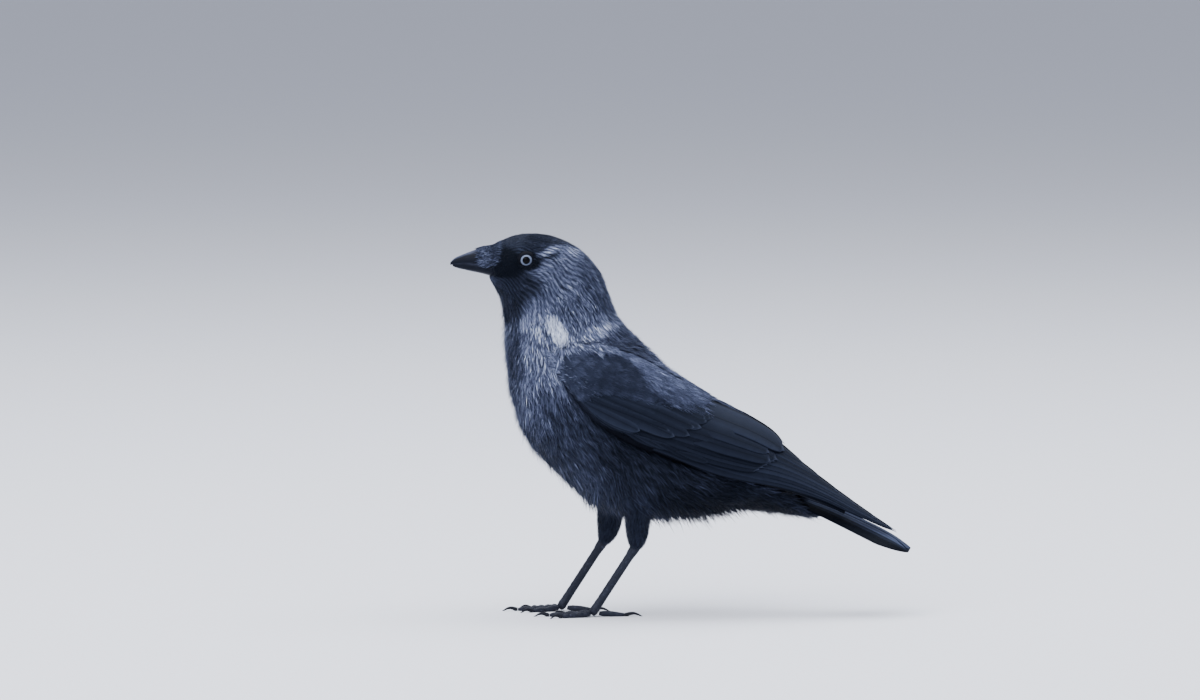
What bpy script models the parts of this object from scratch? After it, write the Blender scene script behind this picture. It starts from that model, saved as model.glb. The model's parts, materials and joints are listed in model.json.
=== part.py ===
"""A western jackdaw, the small grey-naped crow, standing at life size as a still museum model.

The bird faces -X with its left side towards -Y and stands on the floor at Z = 0. Its origin is on the
floor, under the middle of the box round the bird. Head, neck and trunk are lofted through ribs, each
running from the line of the back to the line of the breast and belly. The wings, tail, legs, bill and eyes
are pieces of their own, let into the body with a narrow clearance.
"""

import math

import bmesh
import bpy
import numpy as np
from mathutils import Vector

MM = 0.001
CLEARANCE = 0.6 * MM
WING_BED = 1.0 * MM
MIDDLE_GAP = 0.3

# Ribs of the body, in millimetres: (x, z) on the back, (x, z) on the breast or belly, half the width there,
# and how far the widest place lies below the middle, as a share of the half depth.
RIBS = (
    ((-85.5, 223.5), (-86.5, 206.5), 6.8, 0.00),  # bill base
    ((-77.5, 228.4), (-83.0, 200.0), 9.8, 0.05),  # lores
    ((-68.0, 231.6), (-80.0, 195.5), 12.8, 0.08),  # forehead
    ((-57.0, 232.3), (-78.0, 190.5), 15.0, 0.10),  # ahead of the eye
    ((-45.0, 230.2), (-77.0, 185.5), 16.8, 0.10),  # behind the eye
    ((-33.5, 225.0), (-76.4, 180.0), 18.6, 0.08),  # ear
    ((-24.0, 217.0), (-76.0, 173.5), 20.6, 0.04),  # nape
    ((-17.0, 207.0), (-76.0, 166.0), 23.0, 0.00),  # hind neck
    ((-12.0, 194.0), (-75.7, 158.0), 26.0, 0.00),  # throat foot
    ((-7.0, 181.5), (-75.0, 149.0), 29.2, 0.00),  # collar
    ((1.5, 171.5), (-73.5, 139.0), 32.4, 0.02),  # shoulder
    ((11.5, 162.5), (-70.5, 125.5), 35.2, 0.05),  # upper breast
    ((23.5, 150.0), (-64.5, 109.5), 37.2, 0.06),  # breast
    ((37.5, 136.0), (-54.0, 95.5), 38.0, 0.06),  # mid back
    ((53.0, 123.0), (-39.5, 82.0), 37.0, 0.04),  # lower breast
    ((71.0, 110.0), (-22.5, 67.5), 34.0, 0.02),  # belly
    ((83.0, 98.0), (7.0, 61.3), 29.0, 0.00),  # thigh root
    ((92.0, 88.0), (37.0, 61.0), 25.5, -0.05),  # rump
    ((101.0, 78.0), (68.0, 64.6), 20.0, -0.05),  # vent
    ((110.0, 69.0), (99.0, 60.4), 13.5, 0.00),  # under tail coverts
    ((115.0, 63.5), (112.5, 58.2), 7.5, 0.00),  # end of the coverts
)
# Where along the ribs each length of the body begins, and the cut that parts it from the one before.
NECK_STARTS, BREAST_STARTS, BELLY_STARTS, VENT_STARTS = 5.6, 9.6, 13.6, 15.9
HEAD_CUT, NECK_CUT, BREAST_CUT, BELLY_CUT = 0.035, 0.02, 0.01, 0.012
BODY_ROUND = 28

# The folded wing, from wrist to tip, in millimetres: (x, z) and distance from the middle plane, on its
# upper edge and on its lower edge, then how far it bulges outwards and how thick it is.
WING_RIBS = (
    ((-46.0, 160.6), 29.0, (-45.5, 156.7), 30.0, 0.4, 2.4),  # wrist
    ((-34.0, 165.0), 28.6, (-41.0, 148.0), 35.6, 2.4, 4.6),
    ((-16.5, 163.9), 27.0, (-31.5, 134.7), 39.0, 4.0, 6.2),
    ((3.0, 158.2), 24.0, (-18.0, 120.4), 41.0, 5.0, 7.0),  # over the elbow
    ((23.0, 148.2), 20.0, (1.0, 108.9), 42.0, 6.0, 7.0),
    ((43.0, 136.8), 14.5, (23.0, 100.4), 41.5, 6.0, 6.4),
    ((64.0, 125.4), 8.0, (47.5, 90.2), 38.5, 6.0, 5.4),  # root of the tertials
    ((84.0, 112.2), 4.0, (71.5, 83.3), 33.5, 5.0, 4.4),
    ((101.5, 95.8), 3.4, (94.0, 77.9), 27.0, 3.6, 3.4),  # past the longest tertial
    ((121.5, 79.8), 3.6, (116.5, 70.2), 20.5, 2.0, 2.6),
    ((143.0, 64.0), 4.4, (140.0, 59.0), 15.0, 1.2, 2.0),
    ((162.5, 50.4), 6.2, (161.8, 49.0), 9.0, 0.3, 1.2),  # tip
)
WING_COVERTS_END = 4.9
WING_SECONDARIES_END = 8.2
SECONDARIES_DEPTH, WING_STEP, TERTIAL_SLOPE = 0.66, 0.022, 0.22
WING_CUT, PRIMARIES_STEP = 0.02, 0.04
WING_ROUND = 7
WING_AHEAD = (0.86, -0.1, -0.5)  # from wrist to tip
WING_RIM = 0.3  # thickness at its edges, as a share of that in the middle

# The tail, closed: (x, z) of its ridge, half its width, how far its edges droop and how thick it is.
TAIL_RIBS = (
    ((80.0, 79.4), 9.5, 4.5, 4.0),
    ((98.0, 74.0), 12.5, 6.5, 4.0),
    ((121.5, 66.2), 15.5, 8.0, 3.4),
    ((146.0, 55.4), 18.0, 8.0, 2.8),
    ((160.0, 48.2), 18.4, 7.5, 2.2),
    ((168.0, 44.2), 15.0, 5.5, 1.6),
    ((171.0, 42.6), 8.0, 2.2, 1.0),
)
TAIL_ROUND = 9
TAIL_SWEEP, TAIL_CURVE, TAIL_RIM = 0.3, 1.8, 0.45

# Bill ribs: x, height of the culmen, the closed cutting edges and the keel below, and half the width.
BILL_RIBS = (
    (-109.2, 213.9, 213.2, 212.9, 0.5),
    (-106.4, 216.2, 213.1, 211.6, 1.7),
    (-101.5, 218.7, 213.6, 210.0, 3.1),
    (-95.5, 221.0, 213.8, 209.2, 4.4),
    (-89.5, 222.8, 213.2, 208.1, 5.4),
    (-83.5, 223.6, 211.4, 206.9, 6.0),
)
UPPER_OVERHANG = 1.4
BILL_GAPE = 0.21  # from the cutting edges to the middle of the gap between them
BILL_STATIONS, BILL_ARCH_STEPS, BILL_ARCH, LOWER_BILL = 10, 8, 0.8, 0.94

EYE_CENTRE = (-62.6, 215.9)
EYE_RADIUS = 4.6
EYE_SIDE = 12.3

# Legs, (x, z) down the middle and radius, for the foot that stands back (left) and the one set forward.
THIGHS = {
    "left": (((9.0, 77.0), 9.5), ((6.0, 67.0), 9.2), ((4.6, 59.0), 8.2), ((4.4, 51.0), 7.3),
             ((3.8, 45.0), 5.6), ((2.6, 41.2), 3.2)),
    "right": (((-7.0, 77.0), 9.5), ((-10.5, 67.0), 9.2), ((-12.0, 59.3), 8.4), ((-13.0, 51.3), 7.4),
              ((-15.0, 45.0), 5.4), ((-17.0, 41.4), 3.2)),
}
LEG_SIDE = {"left": -18.0, "right": 18.0}
FOOT_SIDE = {"left": -19.0, "right": 19.0}
FOOT_SPOT = {"left": -22.0, "right": -41.5}
FOOT_HEIGHT = 3.4
TARSUS_DEPTH, TARSUS_WIDTH, BALL_SWELL = 2.5, 1.9, 2.0
TARSUS_STATIONS = (0, 0.05, 0.1, 0.2, 0.4, 0.6, 0.8, 0.9, 0.96, 1.0)
ANKLE_SWELL, ANKLE_REACH, BALL_REACH = 0.6, 0.09, 0.12
THIGH_NARROW = 0.86
THIGH_ROUND, TARSUS_ROUND, TOE_ROUND, CLAW_ROUND = 14, 10, 8, 6

# Toes: direction from straight ahead in degrees, how far ahead and inwards of the foot's middle each is
# rooted, length, phalanges and claw length.
TOES = (
    ("hind", 174.0, -3.3, 0.8, 15.5, 1, 11.0),
    ("inner", 26.0, 2.2, 3.1, 17.0, 2, 8.5),
    ("middle", 2.0, 2.9, 0.0, 24.0, 3, 9.5),
    ("outer", -22.0, 2.2, -3.1, 18.0, 4, 8.0),
)
TOE_ROOT_RADIUS, TOE_RADIUS, TOE_TIP_RADIUS = 1.35, 1.95, 1.25
TOE_PRESS, TOE_RISE = 0.84, 1.1
TOE_PAD = 0.09
CLAW_RADIUS, CLAW_TIP_RADIUS, CLAW_GAP, CLAW_ARCH = 1.1, 0.28, 1.05, 1.1
CLAW_STATIONS = (0, 0.2, 0.4, 0.6, 0.8, 0.94, 1.0)

# Finishes: colour, roughness and metallic value.
MATERIALS = {
    "cap_plumage": ((0.020, 0.024, 0.045), 0.5, 0.0),
    "nape_plumage": ((0.110, 0.135, 0.210), 0.62, 0.0),
    "breast_plumage": ((0.060, 0.074, 0.115), 0.6, 0.0),
    "belly_plumage": ((0.024, 0.029, 0.042), 0.6, 0.0),
    "wing_plumage": ((0.018, 0.022, 0.038), 0.42, 0.0),
    "tail_plumage": ((0.020, 0.024, 0.042), 0.42, 0.0),
    "bill_horn": ((0.018, 0.022, 0.034), 0.35, 0.0),
    "claw_horn": ((0.012, 0.013, 0.018), 0.3, 0.0),
    "leg_scales": ((0.024, 0.026, 0.040), 0.45, 0.0),
    "iris": ((0.52, 0.56, 0.66), 0.12, 0.0),
}


def clear_scene():
    for obj in list(bpy.data.objects):
        bpy.data.objects.remove(obj)


def new_collection(name):
    made = bpy.data.collections.new(name)
    bpy.context.scene.collection.children.link(made)
    return made


def make_materials():
    made = {}
    for name, (colour, roughness, metallic) in MATERIALS.items():
        material = bpy.data.materials.new(name)
        material.use_nodes = True
        shader = material.node_tree.nodes["Principled BSDF"]
        shader.inputs["Base Color"].default_value = (*colour, 1.0)
        shader.inputs["Roughness"].default_value = roughness
        shader.inputs["Metallic"].default_value = metallic
        made[name] = material
    return made


def through(rows, at):
    """The row at a place along a smooth (Catmull-Rom) curve through rows of numbers."""
    rows = np.asarray(rows, float)
    i = int(min(max(math.floor(at), 0), len(rows) - 2))
    t = at - i
    before = rows[i - 1] if i > 0 else 2 * rows[0] - rows[1]
    after = rows[i + 2] if i + 2 < len(rows) else 2 * rows[-1] - rows[-2]
    a, b = rows[i], rows[i + 1]
    return 0.5 * (
        2 * a + (b - before) * t + (2 * before - 5 * a + 4 * b - after) * t**2
        + (3 * a - before - 3 * b + after) * t**3
    )


def loft(name, rings, collection, material):
    """One closed solid through rings of as many points each, with flat ends."""
    mesh = bpy.data.meshes.new(name)
    shape = bmesh.new()
    made = [[shape.verts.new(Vector(point) * MM) for point in ring] for ring in rings]
    count = len(made[0])
    for lower, upper in zip(made, made[1:]):
        for i in range(count):
            j = (i + 1) % count
            shape.faces.new((lower[i], lower[j], upper[j], upper[i]))
    shape.faces.new(made[0][::-1])
    shape.faces.new(made[-1])
    bmesh.ops.recalc_face_normals(shape, faces=shape.faces)
    if shape.calc_volume(signed=True) < 0:
        bmesh.ops.reverse_faces(shape, faces=shape.faces)
    shape.to_mesh(mesh)
    shape.free()
    mesh.shade_smooth()
    mesh.set_sharp_from_angle(angle=math.radians(50))
    mesh.materials.append(material)
    obj = bpy.data.objects.new(name, mesh)
    collection.objects.link(obj)
    return obj


def let_in(body, inset, cutters, clearance=CLEARANCE):
    """Cuts the room for one piece out of another, with a clearance all round it."""
    cutter = bpy.data.objects.new(f"room_{body.name}_{inset.name}", inset.data.copy())
    cutters.objects.link(cutter)
    cutter.hide_render = True
    cutter.display_type = "WIRE"
    swell = cutter.modifiers.new("swell", "DISPLACE")
    swell.strength = clearance
    swell.mid_level = 0.0
    cut = body.modifiers.new(f"room_{inset.name}", "BOOLEAN")
    cut.operation = "DIFFERENCE"
    cut.solver = "EXACT"
    cut.object = cutter


def body_ring(at):
    """The rib at a place along the body, as points round it from the back down the bird's left side."""
    flat = [(*back, *front, half, low) for back, front, half, low in RIBS]
    back_x, back_z, front_x, front_z, half, low = through(flat, at)
    middle = np.array([back_x + front_x, 0.0, back_z + front_z]) / 2
    up = np.array([back_x - front_x, 0.0, back_z - front_z]) / 2
    ring = []
    for i in range(BODY_ROUND):
        angle = 2 * math.pi * i / BODY_ROUND
        rise, side = math.cos(angle), math.sin(angle)
        side *= 1 - low * rise
        ring.append(middle + up * rise + np.array([0.0, -half * side, 0.0]))
    return ring


def body_length(start, end, count, name, collection, material):
    stations = np.linspace(start, end, count)
    return loft(name, [body_ring(at) for at in stations], collection, material)


def make_body(collection, materials):
    """Head, neck, breast, belly and vent, each ending in a thin cut across the ribs."""
    parts = (
        ("head", 0.0, NECK_STARTS, HEAD_CUT, 12, "cap_plumage"),
        ("neck", NECK_STARTS, BREAST_STARTS, NECK_CUT, 7, "nape_plumage"),
        ("breast", BREAST_STARTS, BELLY_STARTS, BREAST_CUT, 7, "breast_plumage"),
        ("belly", BELLY_STARTS, VENT_STARTS, BELLY_CUT, 5, "belly_plumage"),
        ("vent", VENT_STARTS, len(RIBS) - 1, 0.0, 9, "belly_plumage"),
    )
    made = {}
    start_cut = 0.0
    for name, start, end, end_cut, count, material in parts:
        made[name] = body_length(start + start_cut, end - end_cut, count, name, collection, materials[material])
        start_cut = end_cut
    return made


def bill_ring(row, upper, narrow=1.0):
    """Half of the bill at one rib: a rounded ridge over the cutting edge, or a rounded keel under it."""
    x, culmen, edge, keel, half = row
    half = half * narrow
    rise = (culmen - edge) if upper else (keel - edge)
    level = edge + math.copysign(BILL_GAPE, rise)
    rise -= math.copysign(BILL_GAPE, rise)
    arch = [math.pi * i / BILL_ARCH_STEPS for i in range(BILL_ARCH_STEPS + 1)]
    return [(x, half * math.cos(a), level + rise * math.sin(a) ** BILL_ARCH) for a in arch]


def make_bill(collection, material):
    stations = np.linspace(0, len(BILL_RIBS) - 1, BILL_STATIONS)
    upper = [bill_ring(through(BILL_RIBS, at), True) for at in stations]
    lower = [bill_ring(through(BILL_RIBS, at), False, LOWER_BILL) for at in stations]
    for point in range(len(lower[0])):
        x, y, z = lower[0][point]
        lower[0][point] = (x + UPPER_OVERHANG, y, z)
    return (
        loft("bill_upper", upper, collection, material),
        loft("bill_lower", lower, collection, material),
    )


def make_eye(side, sign, collection, material):
    bpy.ops.mesh.primitive_uv_sphere_add(
        segments=16, ring_count=10, radius=EYE_RADIUS * MM,
        location=(EYE_CENTRE[0] * MM, sign * EYE_SIDE * MM, EYE_CENTRE[1] * MM),
        rotation=(math.radians(90), 0, 0),
    )
    eye = bpy.context.object
    eye.name = f"eye_{side}"
    eye.data.shade_smooth()
    eye.data.materials.append(material)
    eye.data.transform(eye.matrix_basis)
    eye.matrix_basis.identity()
    for holder in list(eye.users_collection):
        holder.objects.unlink(eye)
    collection.objects.link(eye)
    return eye


def wing_sheet(sign):
    """The outer and the inner surface of a folded wing, as functions of place along it and down it."""
    flat = [(*top, top_y, *low, low_y, bulge, thick) for top, top_y, low, low_y, bulge, thick in WING_RIBS]

    def surface(at, down, inner):
        top_x, top_z, top_y, low_x, low_z, low_y, bulge, thick = through(flat, at)
        top, low = np.array([top_x, top_y, top_z]), np.array([low_x, low_y, low_z])
        out = np.cross(np.array(WING_AHEAD), low - top)
        out /= np.linalg.norm(out)
        crown = 4 * down * (1 - down)
        point = top + (low - top) * down + out * bulge * crown
        if inner:
            point = point - out * thick * (WING_RIM + (1 - WING_RIM) * math.sqrt(crown))
        point[1] = max(point[1], MIDDLE_GAP)
        return np.array([point[0], sign * point[1], point[2]])

    return surface


def wing_piece(surface, name, stations, tops, low, collection, material):
    """One closed stretch of a wing: its places along the wing, where its upper edge lies at each, and its lower."""
    rings = []
    for at, top in zip(stations, tops):
        downs = np.linspace(top, low, WING_ROUND)
        outer = [surface(at, down, False) for down in downs]
        inner = [surface(at, down, True) for down in downs[::-1]]
        rings.append(outer + inner)
    return loft(name, rings, collection, material)


def make_wing(side, sign, collection, cutters, material):
    """Coverts, secondaries and primaries of a folded wing, and the whole wing as a cutter."""
    surface = wing_sheet(sign)
    last = len(WING_RIBS) - 1
    stations_of_coverts = np.linspace(0, WING_COVERTS_END - WING_CUT, 9)
    wing_piece(surface, f"wing_coverts_{side}", stations_of_coverts, [0] * 9, 1, collection, material)
    stations_of_secondaries = np.linspace(WING_COVERTS_END + WING_CUT, WING_SECONDARIES_END, 6)
    wing_piece(surface, f"wing_secondaries_{side}", stations_of_secondaries, [0] * 6, SECONDARIES_DEPTH,
               collection, material)
    under = np.linspace(WING_COVERTS_END + WING_CUT, WING_SECONDARIES_END + PRIMARIES_STEP, 5)
    beyond = np.linspace(WING_SECONDARIES_END + TERTIAL_SLOPE, last, 7)
    tops = [SECONDARIES_DEPTH + WING_STEP] * len(under) + [0] * len(beyond)
    wing_piece(surface, f"wing_primaries_{side}", [*under, *beyond], tops, 1, collection, material)
    whole = [*stations_of_coverts, *stations_of_secondaries, *beyond]
    whole = wing_piece(surface, f"whole_wing_{side}", whole, [0] * len(whole), 1, cutters, material)
    whole.hide_render = True
    whole.display_type = "WIRE"
    return whole


def tail_ring(at):
    flat = [(*ridge, half, droop, thick) for ridge, half, droop, thick in TAIL_RIBS]
    x, z, half, droop, thick = through(flat, at)
    across = np.linspace(-1, 1, TAIL_ROUND)
    top = [(x - TAIL_SWEEP * droop * abs(a) ** 2, half * a, z - droop * abs(a) ** TAIL_CURVE) for a in across]
    under = [(px, py, pz - thick * (TAIL_RIM + (1 - TAIL_RIM) * (1 - a * a))) for (px, py, pz), a in zip(top, across)]
    return top + under[::-1]


def make_tail(collection, material):
    stations = np.linspace(0, len(TAIL_RIBS) - 1, 12)
    return loft("tail", [tail_ring(at) for at in stations], collection, material)


def tube(name, centres, radii, count, collection, material, floor=False, side=(0.0, 1.0, 0.0)):
    """A round or oval limb down a line of centres. On the floor its underside is pressed flat at Z = 0."""
    centres = [np.array(c, float) for c in centres]
    rings = []
    for i, centre in enumerate(centres):
        ahead = centres[min(i + 1, len(centres) - 1)] - centres[max(i - 1, 0)]
        ahead /= np.linalg.norm(ahead)
        across = np.cross(ahead, np.cross(np.array(side, float), ahead))
        across /= np.linalg.norm(across)
        deep = np.cross(ahead, across)
        wide, tall = radii[i]
        ring = []
        for k in range(count):
            angle = 2 * math.pi * (k + 0.5) / count
            point = centre + across * wide * math.cos(angle) + deep * tall * math.sin(angle)
            if floor:
                point[2] = max(point[2], 0.0)
            ring.append(point)
        rings.append(ring)
    return loft(name, rings, collection, material)


def make_thigh(side, collection, material):
    rows = [(x, z, r) for (x, z), r in THIGHS[side]]
    stations = [through(rows, at) for at in np.linspace(0, len(rows) - 1, 10)]
    centres = [(x, LEG_SIDE[side], z) for x, z, r in stations]
    radii = [(r * THIGH_NARROW, r) for x, z, r in stations]
    return tube(f"thigh_{side}", centres, radii, THIGH_ROUND, collection, material)


def make_tarsus(side, collection, material):
    """The bare shank, from the feathered ankle to the ball of the foot, which is as wide as three toes."""
    (x, z), _ = THIGHS[side][-1]
    ankle = np.array([x, LEG_SIDE[side], z])
    foot = np.array([FOOT_SPOT[side], FOOT_SIDE[side], FOOT_HEIGHT])
    ahead = (foot - ankle) / np.linalg.norm(foot - ankle)
    centres, radii = [], []
    start = ankle + ahead * 0.6
    for t in TARSUS_STATIONS:
        joint = ANKLE_SWELL * math.exp(-((t / ANKLE_REACH) ** 2))
        ball = BALL_SWELL * math.exp(-(((t - 1) / BALL_REACH) ** 2))
        centres.append(start + (foot - start) * t)
        radii.append((TARSUS_WIDTH + 0.8 * joint + ball, TARSUS_DEPTH + joint + 0.1 * ball))
    centres.append(foot + ahead * 1.8)
    radii.append((TARSUS_WIDTH + 0.6 * BALL_SWELL, TARSUS_DEPTH * 0.75))
    return tube(f"tarsus_{side}", centres, radii, TARSUS_ROUND, collection, material, floor=True)


def toe_line(side, angle, before, aside, length, phalanges):
    """Centres and radii down a toe, with a pad under each phalanx, its underside on the floor."""
    sign = math.copysign(1, LEG_SIDE[side])
    heading = math.radians(angle)
    ahead = np.array([-math.cos(heading), -sign * math.sin(heading), 0.0])
    root = np.array([FOOT_SPOT[side] - before, FOOT_SIDE[side] - sign * aside, 0.0])
    centres, radii = [], []
    for t in np.linspace(0, 1, 5 + 2 * phalanges):
        pad = TOE_PAD * math.cos(2 * math.pi * phalanges * (t - 0.5 / phalanges))
        slim = TOE_ROOT_RADIUS + (TOE_RADIUS - TOE_ROOT_RADIUS) * min(t / 0.2, 1.0)
        radius = (slim + (TOE_TIP_RADIUS - slim) * t) * (1 + pad)
        height = radius * TOE_PRESS + TOE_RISE * (1 - t) ** 5
        centres.append(root + ahead * length * t + np.array([0, 0, height]))
        radii.append((radius, radius))
    return centres, radii, ahead


def claw_line(tip, ahead, length):
    """Centres and radii down a claw that arches forward and comes down with its tip flat on the floor."""
    centres, radii = [], []
    for t in CLAW_STATIONS:
        rise = CLAW_ARCH * math.sin(math.pi * min(t * 1.1, 1.0)) - (tip[2] - 0.6 * CLAW_TIP_RADIUS) * t**1.6
        centres.append(tip + ahead * (CLAW_GAP + length * 0.9 * t) + np.array([0, 0, rise]))
        thick = CLAW_RADIUS * (1 - t) ** 0.7 + CLAW_TIP_RADIUS
        radii.append((thick * 0.8, thick))
    return centres, radii


def make_foot(side, collection, materials):
    """Four toes with their claws, set round the ball of the foot."""
    for name, angle, before, aside, length, phalanges, claw in TOES:
        centres, radii, ahead = toe_line(side, angle, before, aside, length, phalanges)
        across = (ahead[1], -ahead[0], 0.0)
        tube(f"toe_{name}_{side}", centres, radii, TOE_ROUND, collection, materials["leg_scales"],
             floor=True, side=across)
        centres, radii = claw_line(centres[-1], ahead, claw)
        tube(f"claw_{name}_{side}", centres, radii, CLAW_ROUND, collection, materials["claw_horn"],
             floor=True, side=across)


def stand_over_origin(objects):
    """Parents every piece to one empty, moved so that the origin is under the middle of the bird's box."""
    bpy.context.view_layer.update()
    corners = [obj.matrix_world @ Vector(corner) for obj in objects for corner in obj.bound_box]
    low = [min(c[k] for c in corners) for k in range(3)]
    high = [max(c[k] for c in corners) for k in range(3)]
    stand = bpy.data.objects.new("jackdaw", None)
    bpy.context.scene.collection.objects.link(stand)
    stand.location = (-(low[0] + high[0]) / 2, -(low[1] + high[1]) / 2, -low[2])
    for obj in bpy.data.objects:
        if obj.type == "MESH":
            obj.parent = stand


def main():
    clear_scene()
    bird = new_collection("jackdaw")
    cutters = new_collection("cutters")
    materials = make_materials()
    body = make_body(bird, materials)
    for half in make_bill(bird, materials["bill_horn"]):
        let_in(body["head"], half, cutters)
    tail = make_tail(bird, materials["tail_plumage"])
    let_in(body["vent"], tail, cutters)
    for side, sign in (("left", -1), ("right", 1)):
        let_in(body["head"], make_eye(side, sign, bird, materials["iris"]), cutters)
        whole = make_wing(side, sign, bird, cutters, materials["wing_plumage"])
        for piece in (body["neck"], body["breast"], body["belly"], body["vent"], tail):
            let_in(piece, whole, cutters, WING_BED)
        thigh = make_thigh(side, bird, materials["belly_plumage"])
        for piece in (body["breast"], body["belly"], body["vent"]):
            let_in(piece, thigh, cutters)
        let_in(thigh, make_tarsus(side, bird, materials["leg_scales"]), cutters)
        make_foot(side, bird, materials)
    stand_over_origin(list(bird.objects))


main()
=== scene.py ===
import json
import math

import bmesh
import bpy
import numpy as np
from bpy.props import FloatProperty, FloatVectorProperty, IntProperty, PointerProperty
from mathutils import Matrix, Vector
from mathutils.bvhtree import BVHTree

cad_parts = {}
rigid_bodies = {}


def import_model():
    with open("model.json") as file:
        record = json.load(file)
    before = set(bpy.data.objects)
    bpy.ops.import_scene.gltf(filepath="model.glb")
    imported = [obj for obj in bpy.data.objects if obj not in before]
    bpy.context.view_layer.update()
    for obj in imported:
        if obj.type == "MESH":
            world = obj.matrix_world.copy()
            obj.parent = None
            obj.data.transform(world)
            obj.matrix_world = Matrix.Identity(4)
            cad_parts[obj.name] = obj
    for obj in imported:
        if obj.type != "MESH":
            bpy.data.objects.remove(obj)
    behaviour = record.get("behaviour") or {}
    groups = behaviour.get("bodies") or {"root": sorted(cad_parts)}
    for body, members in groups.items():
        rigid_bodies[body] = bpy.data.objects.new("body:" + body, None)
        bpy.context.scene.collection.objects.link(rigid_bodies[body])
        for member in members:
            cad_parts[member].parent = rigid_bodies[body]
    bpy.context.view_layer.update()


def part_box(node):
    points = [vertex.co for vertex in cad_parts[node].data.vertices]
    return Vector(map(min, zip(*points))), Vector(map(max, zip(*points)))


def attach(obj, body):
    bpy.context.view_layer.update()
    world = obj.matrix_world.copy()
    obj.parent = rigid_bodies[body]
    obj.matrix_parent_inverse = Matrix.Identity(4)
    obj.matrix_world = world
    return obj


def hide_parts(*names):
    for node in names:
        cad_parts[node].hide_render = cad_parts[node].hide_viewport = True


# A western jackdaw, standing: skin, plumage, bill, eyes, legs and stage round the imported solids.
# Sizes are in millimetres in the bird's own frame, which shares its floor and middle plane with the solids
# and stands SHIFT_X ahead of them. +X is towards the tail, and -Y is the bird's left.

bl_info = {
    "name": "Standing jackdaw",
    "version": (1, 0, 0),
    "blender": (4, 5, 0),
    "location": "View3D > Sidebar > Jackdaw",
    "description": "Builds the plumage, bill, eyes and legs of a standing jackdaw round its solids",
    "category": "Object",
}

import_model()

MM = 0.001
SIDES = (("left", -1.0), ("right", 1.0))
# Ways round the body, from the middle of the back: all of it, and all but the back.
WHOLE = (0.0, 2 * math.pi)
BELOW = (math.radians(54), 2 * math.pi - math.radians(54))

# Ribs of the body: (x, z) on the back, (x, z) on the breast or belly, half the width there, and how far the
# widest place lies below the middle, as a share of the half depth.
RIBS = (
    ((-85.5, 223.5), (-86.5, 206.5), 6.8, 0.00),  # 0 bill base
    ((-77.5, 228.4), (-83.0, 200.0), 9.8, 0.05),
    ((-68.0, 231.6), (-80.0, 195.5), 12.8, 0.08),
    ((-57.0, 232.3), (-78.0, 190.5), 15.0, 0.10),  # 3 ahead of the eye
    ((-45.0, 230.2), (-77.0, 185.5), 16.8, 0.10),
    ((-33.5, 225.0), (-76.4, 180.0), 18.6, 0.08),  # 5 ear
    ((-24.0, 217.0), (-76.0, 173.5), 20.6, 0.04),
    ((-17.0, 207.0), (-76.0, 166.0), 23.0, 0.00),
    ((-12.0, 194.0), (-75.7, 158.0), 26.0, 0.00),  # 8 neck
    ((-7.0, 181.5), (-75.0, 149.0), 29.2, 0.00),
    ((1.5, 171.5), (-73.5, 139.0), 32.4, 0.02),  # 10 shoulder
    ((11.5, 162.5), (-70.5, 125.5), 35.2, 0.05),
    ((23.5, 150.0), (-64.5, 109.5), 37.2, 0.06),  # 12 breast
    ((37.5, 136.0), (-54.0, 95.5), 38.0, 0.06),
    ((53.0, 123.0), (-39.5, 82.0), 37.0, 0.04),
    ((71.0, 110.0), (-22.5, 67.5), 34.0, 0.02),  # 15 belly
    ((83.0, 98.0), (7.0, 61.3), 29.0, 0.00),
    ((92.0, 88.0), (37.0, 61.0), 25.5, -0.05),
    ((101.0, 78.0), (68.0, 64.6), 20.0, -0.05),  # 18 vent
    ((110.0, 69.0), (99.0, 60.4), 13.5, 0.00),
    ((115.0, 63.5), (112.5, 58.2), 7.5, 0.00),  # 20 end of the coverts
)
LAST_RIB = len(RIBS) - 1
# How deep the skin lies under the tips of the coat, at some ribs.
COAT_AT = (0, 2, 4, 6, 8, 11, 14, 17, 20)
COAT_DEPTH = (0.7, 0.9, 1.2, 1.6, 2.0, 2.6, 3.0, 2.8, 1.8)

BURIED = 1.3  # how deep in the form a root may lie
FORM_VOXEL = 1.1
WAVE_LENGTH, WAVE_HEIGHT = 3.2, 0.6  # of the waves in the lie of the coat
PARTING_JITTER = 0.30  # how far tufts cross over the middle line, so that they leave no parting

# The folded wing, from wrist to tip: (x, z) and distance from the middle plane on its upper edge and on its
# lower edge, then how far it bulges outwards and how thick it is.
WING_RIBS = (
    ((-46.0, 160.6), 29.0, (-45.5, 156.7), 30.0, 0.4, 2.4),
    ((-34.0, 165.0), 28.6, (-41.0, 148.0), 35.6, 2.4, 4.6),
    ((-16.5, 163.9), 27.0, (-31.5, 134.7), 39.0, 4.0, 6.2),
    ((3.0, 158.2), 24.0, (-18.0, 120.4), 41.0, 5.0, 7.0),
    ((23.0, 147.4), 20.0, (1.0, 108.9), 42.0, 6.0, 7.0),
    ((43.0, 135.4), 14.5, (23.0, 100.4), 41.5, 6.0, 6.4),
    ((64.0, 124.4), 8.0, (47.5, 90.2), 38.5, 6.0, 5.4),
    ((84.0, 112.2), 4.0, (71.5, 83.3), 33.5, 5.0, 4.4),
    ((101.5, 95.8), 3.4, (94.0, 77.9), 27.0, 3.6, 3.4),
    ((121.5, 79.8), 3.6, (116.5, 70.2), 20.5, 2.0, 2.6),
    ((143.0, 64.0), 4.4, (140.0, 59.0), 15.0, 1.2, 2.0),
    ((162.5, 50.4), 6.2, (161.8, 49.0), 9.0, 0.3, 1.2),
)
WING_END = len(WING_RIBS) - 1
WING_AHEAD = (0.86, -0.1, -0.5)  # from wrist to tip
WING_RIM = 0.3  # thickness at its edges, as a share of that in the middle
WING_TO_MIDDLE = 0.5  # least distance from the middle plane
WING_REACH = 14.0  # how far out from the body's plumage a wing may lie over it

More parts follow.
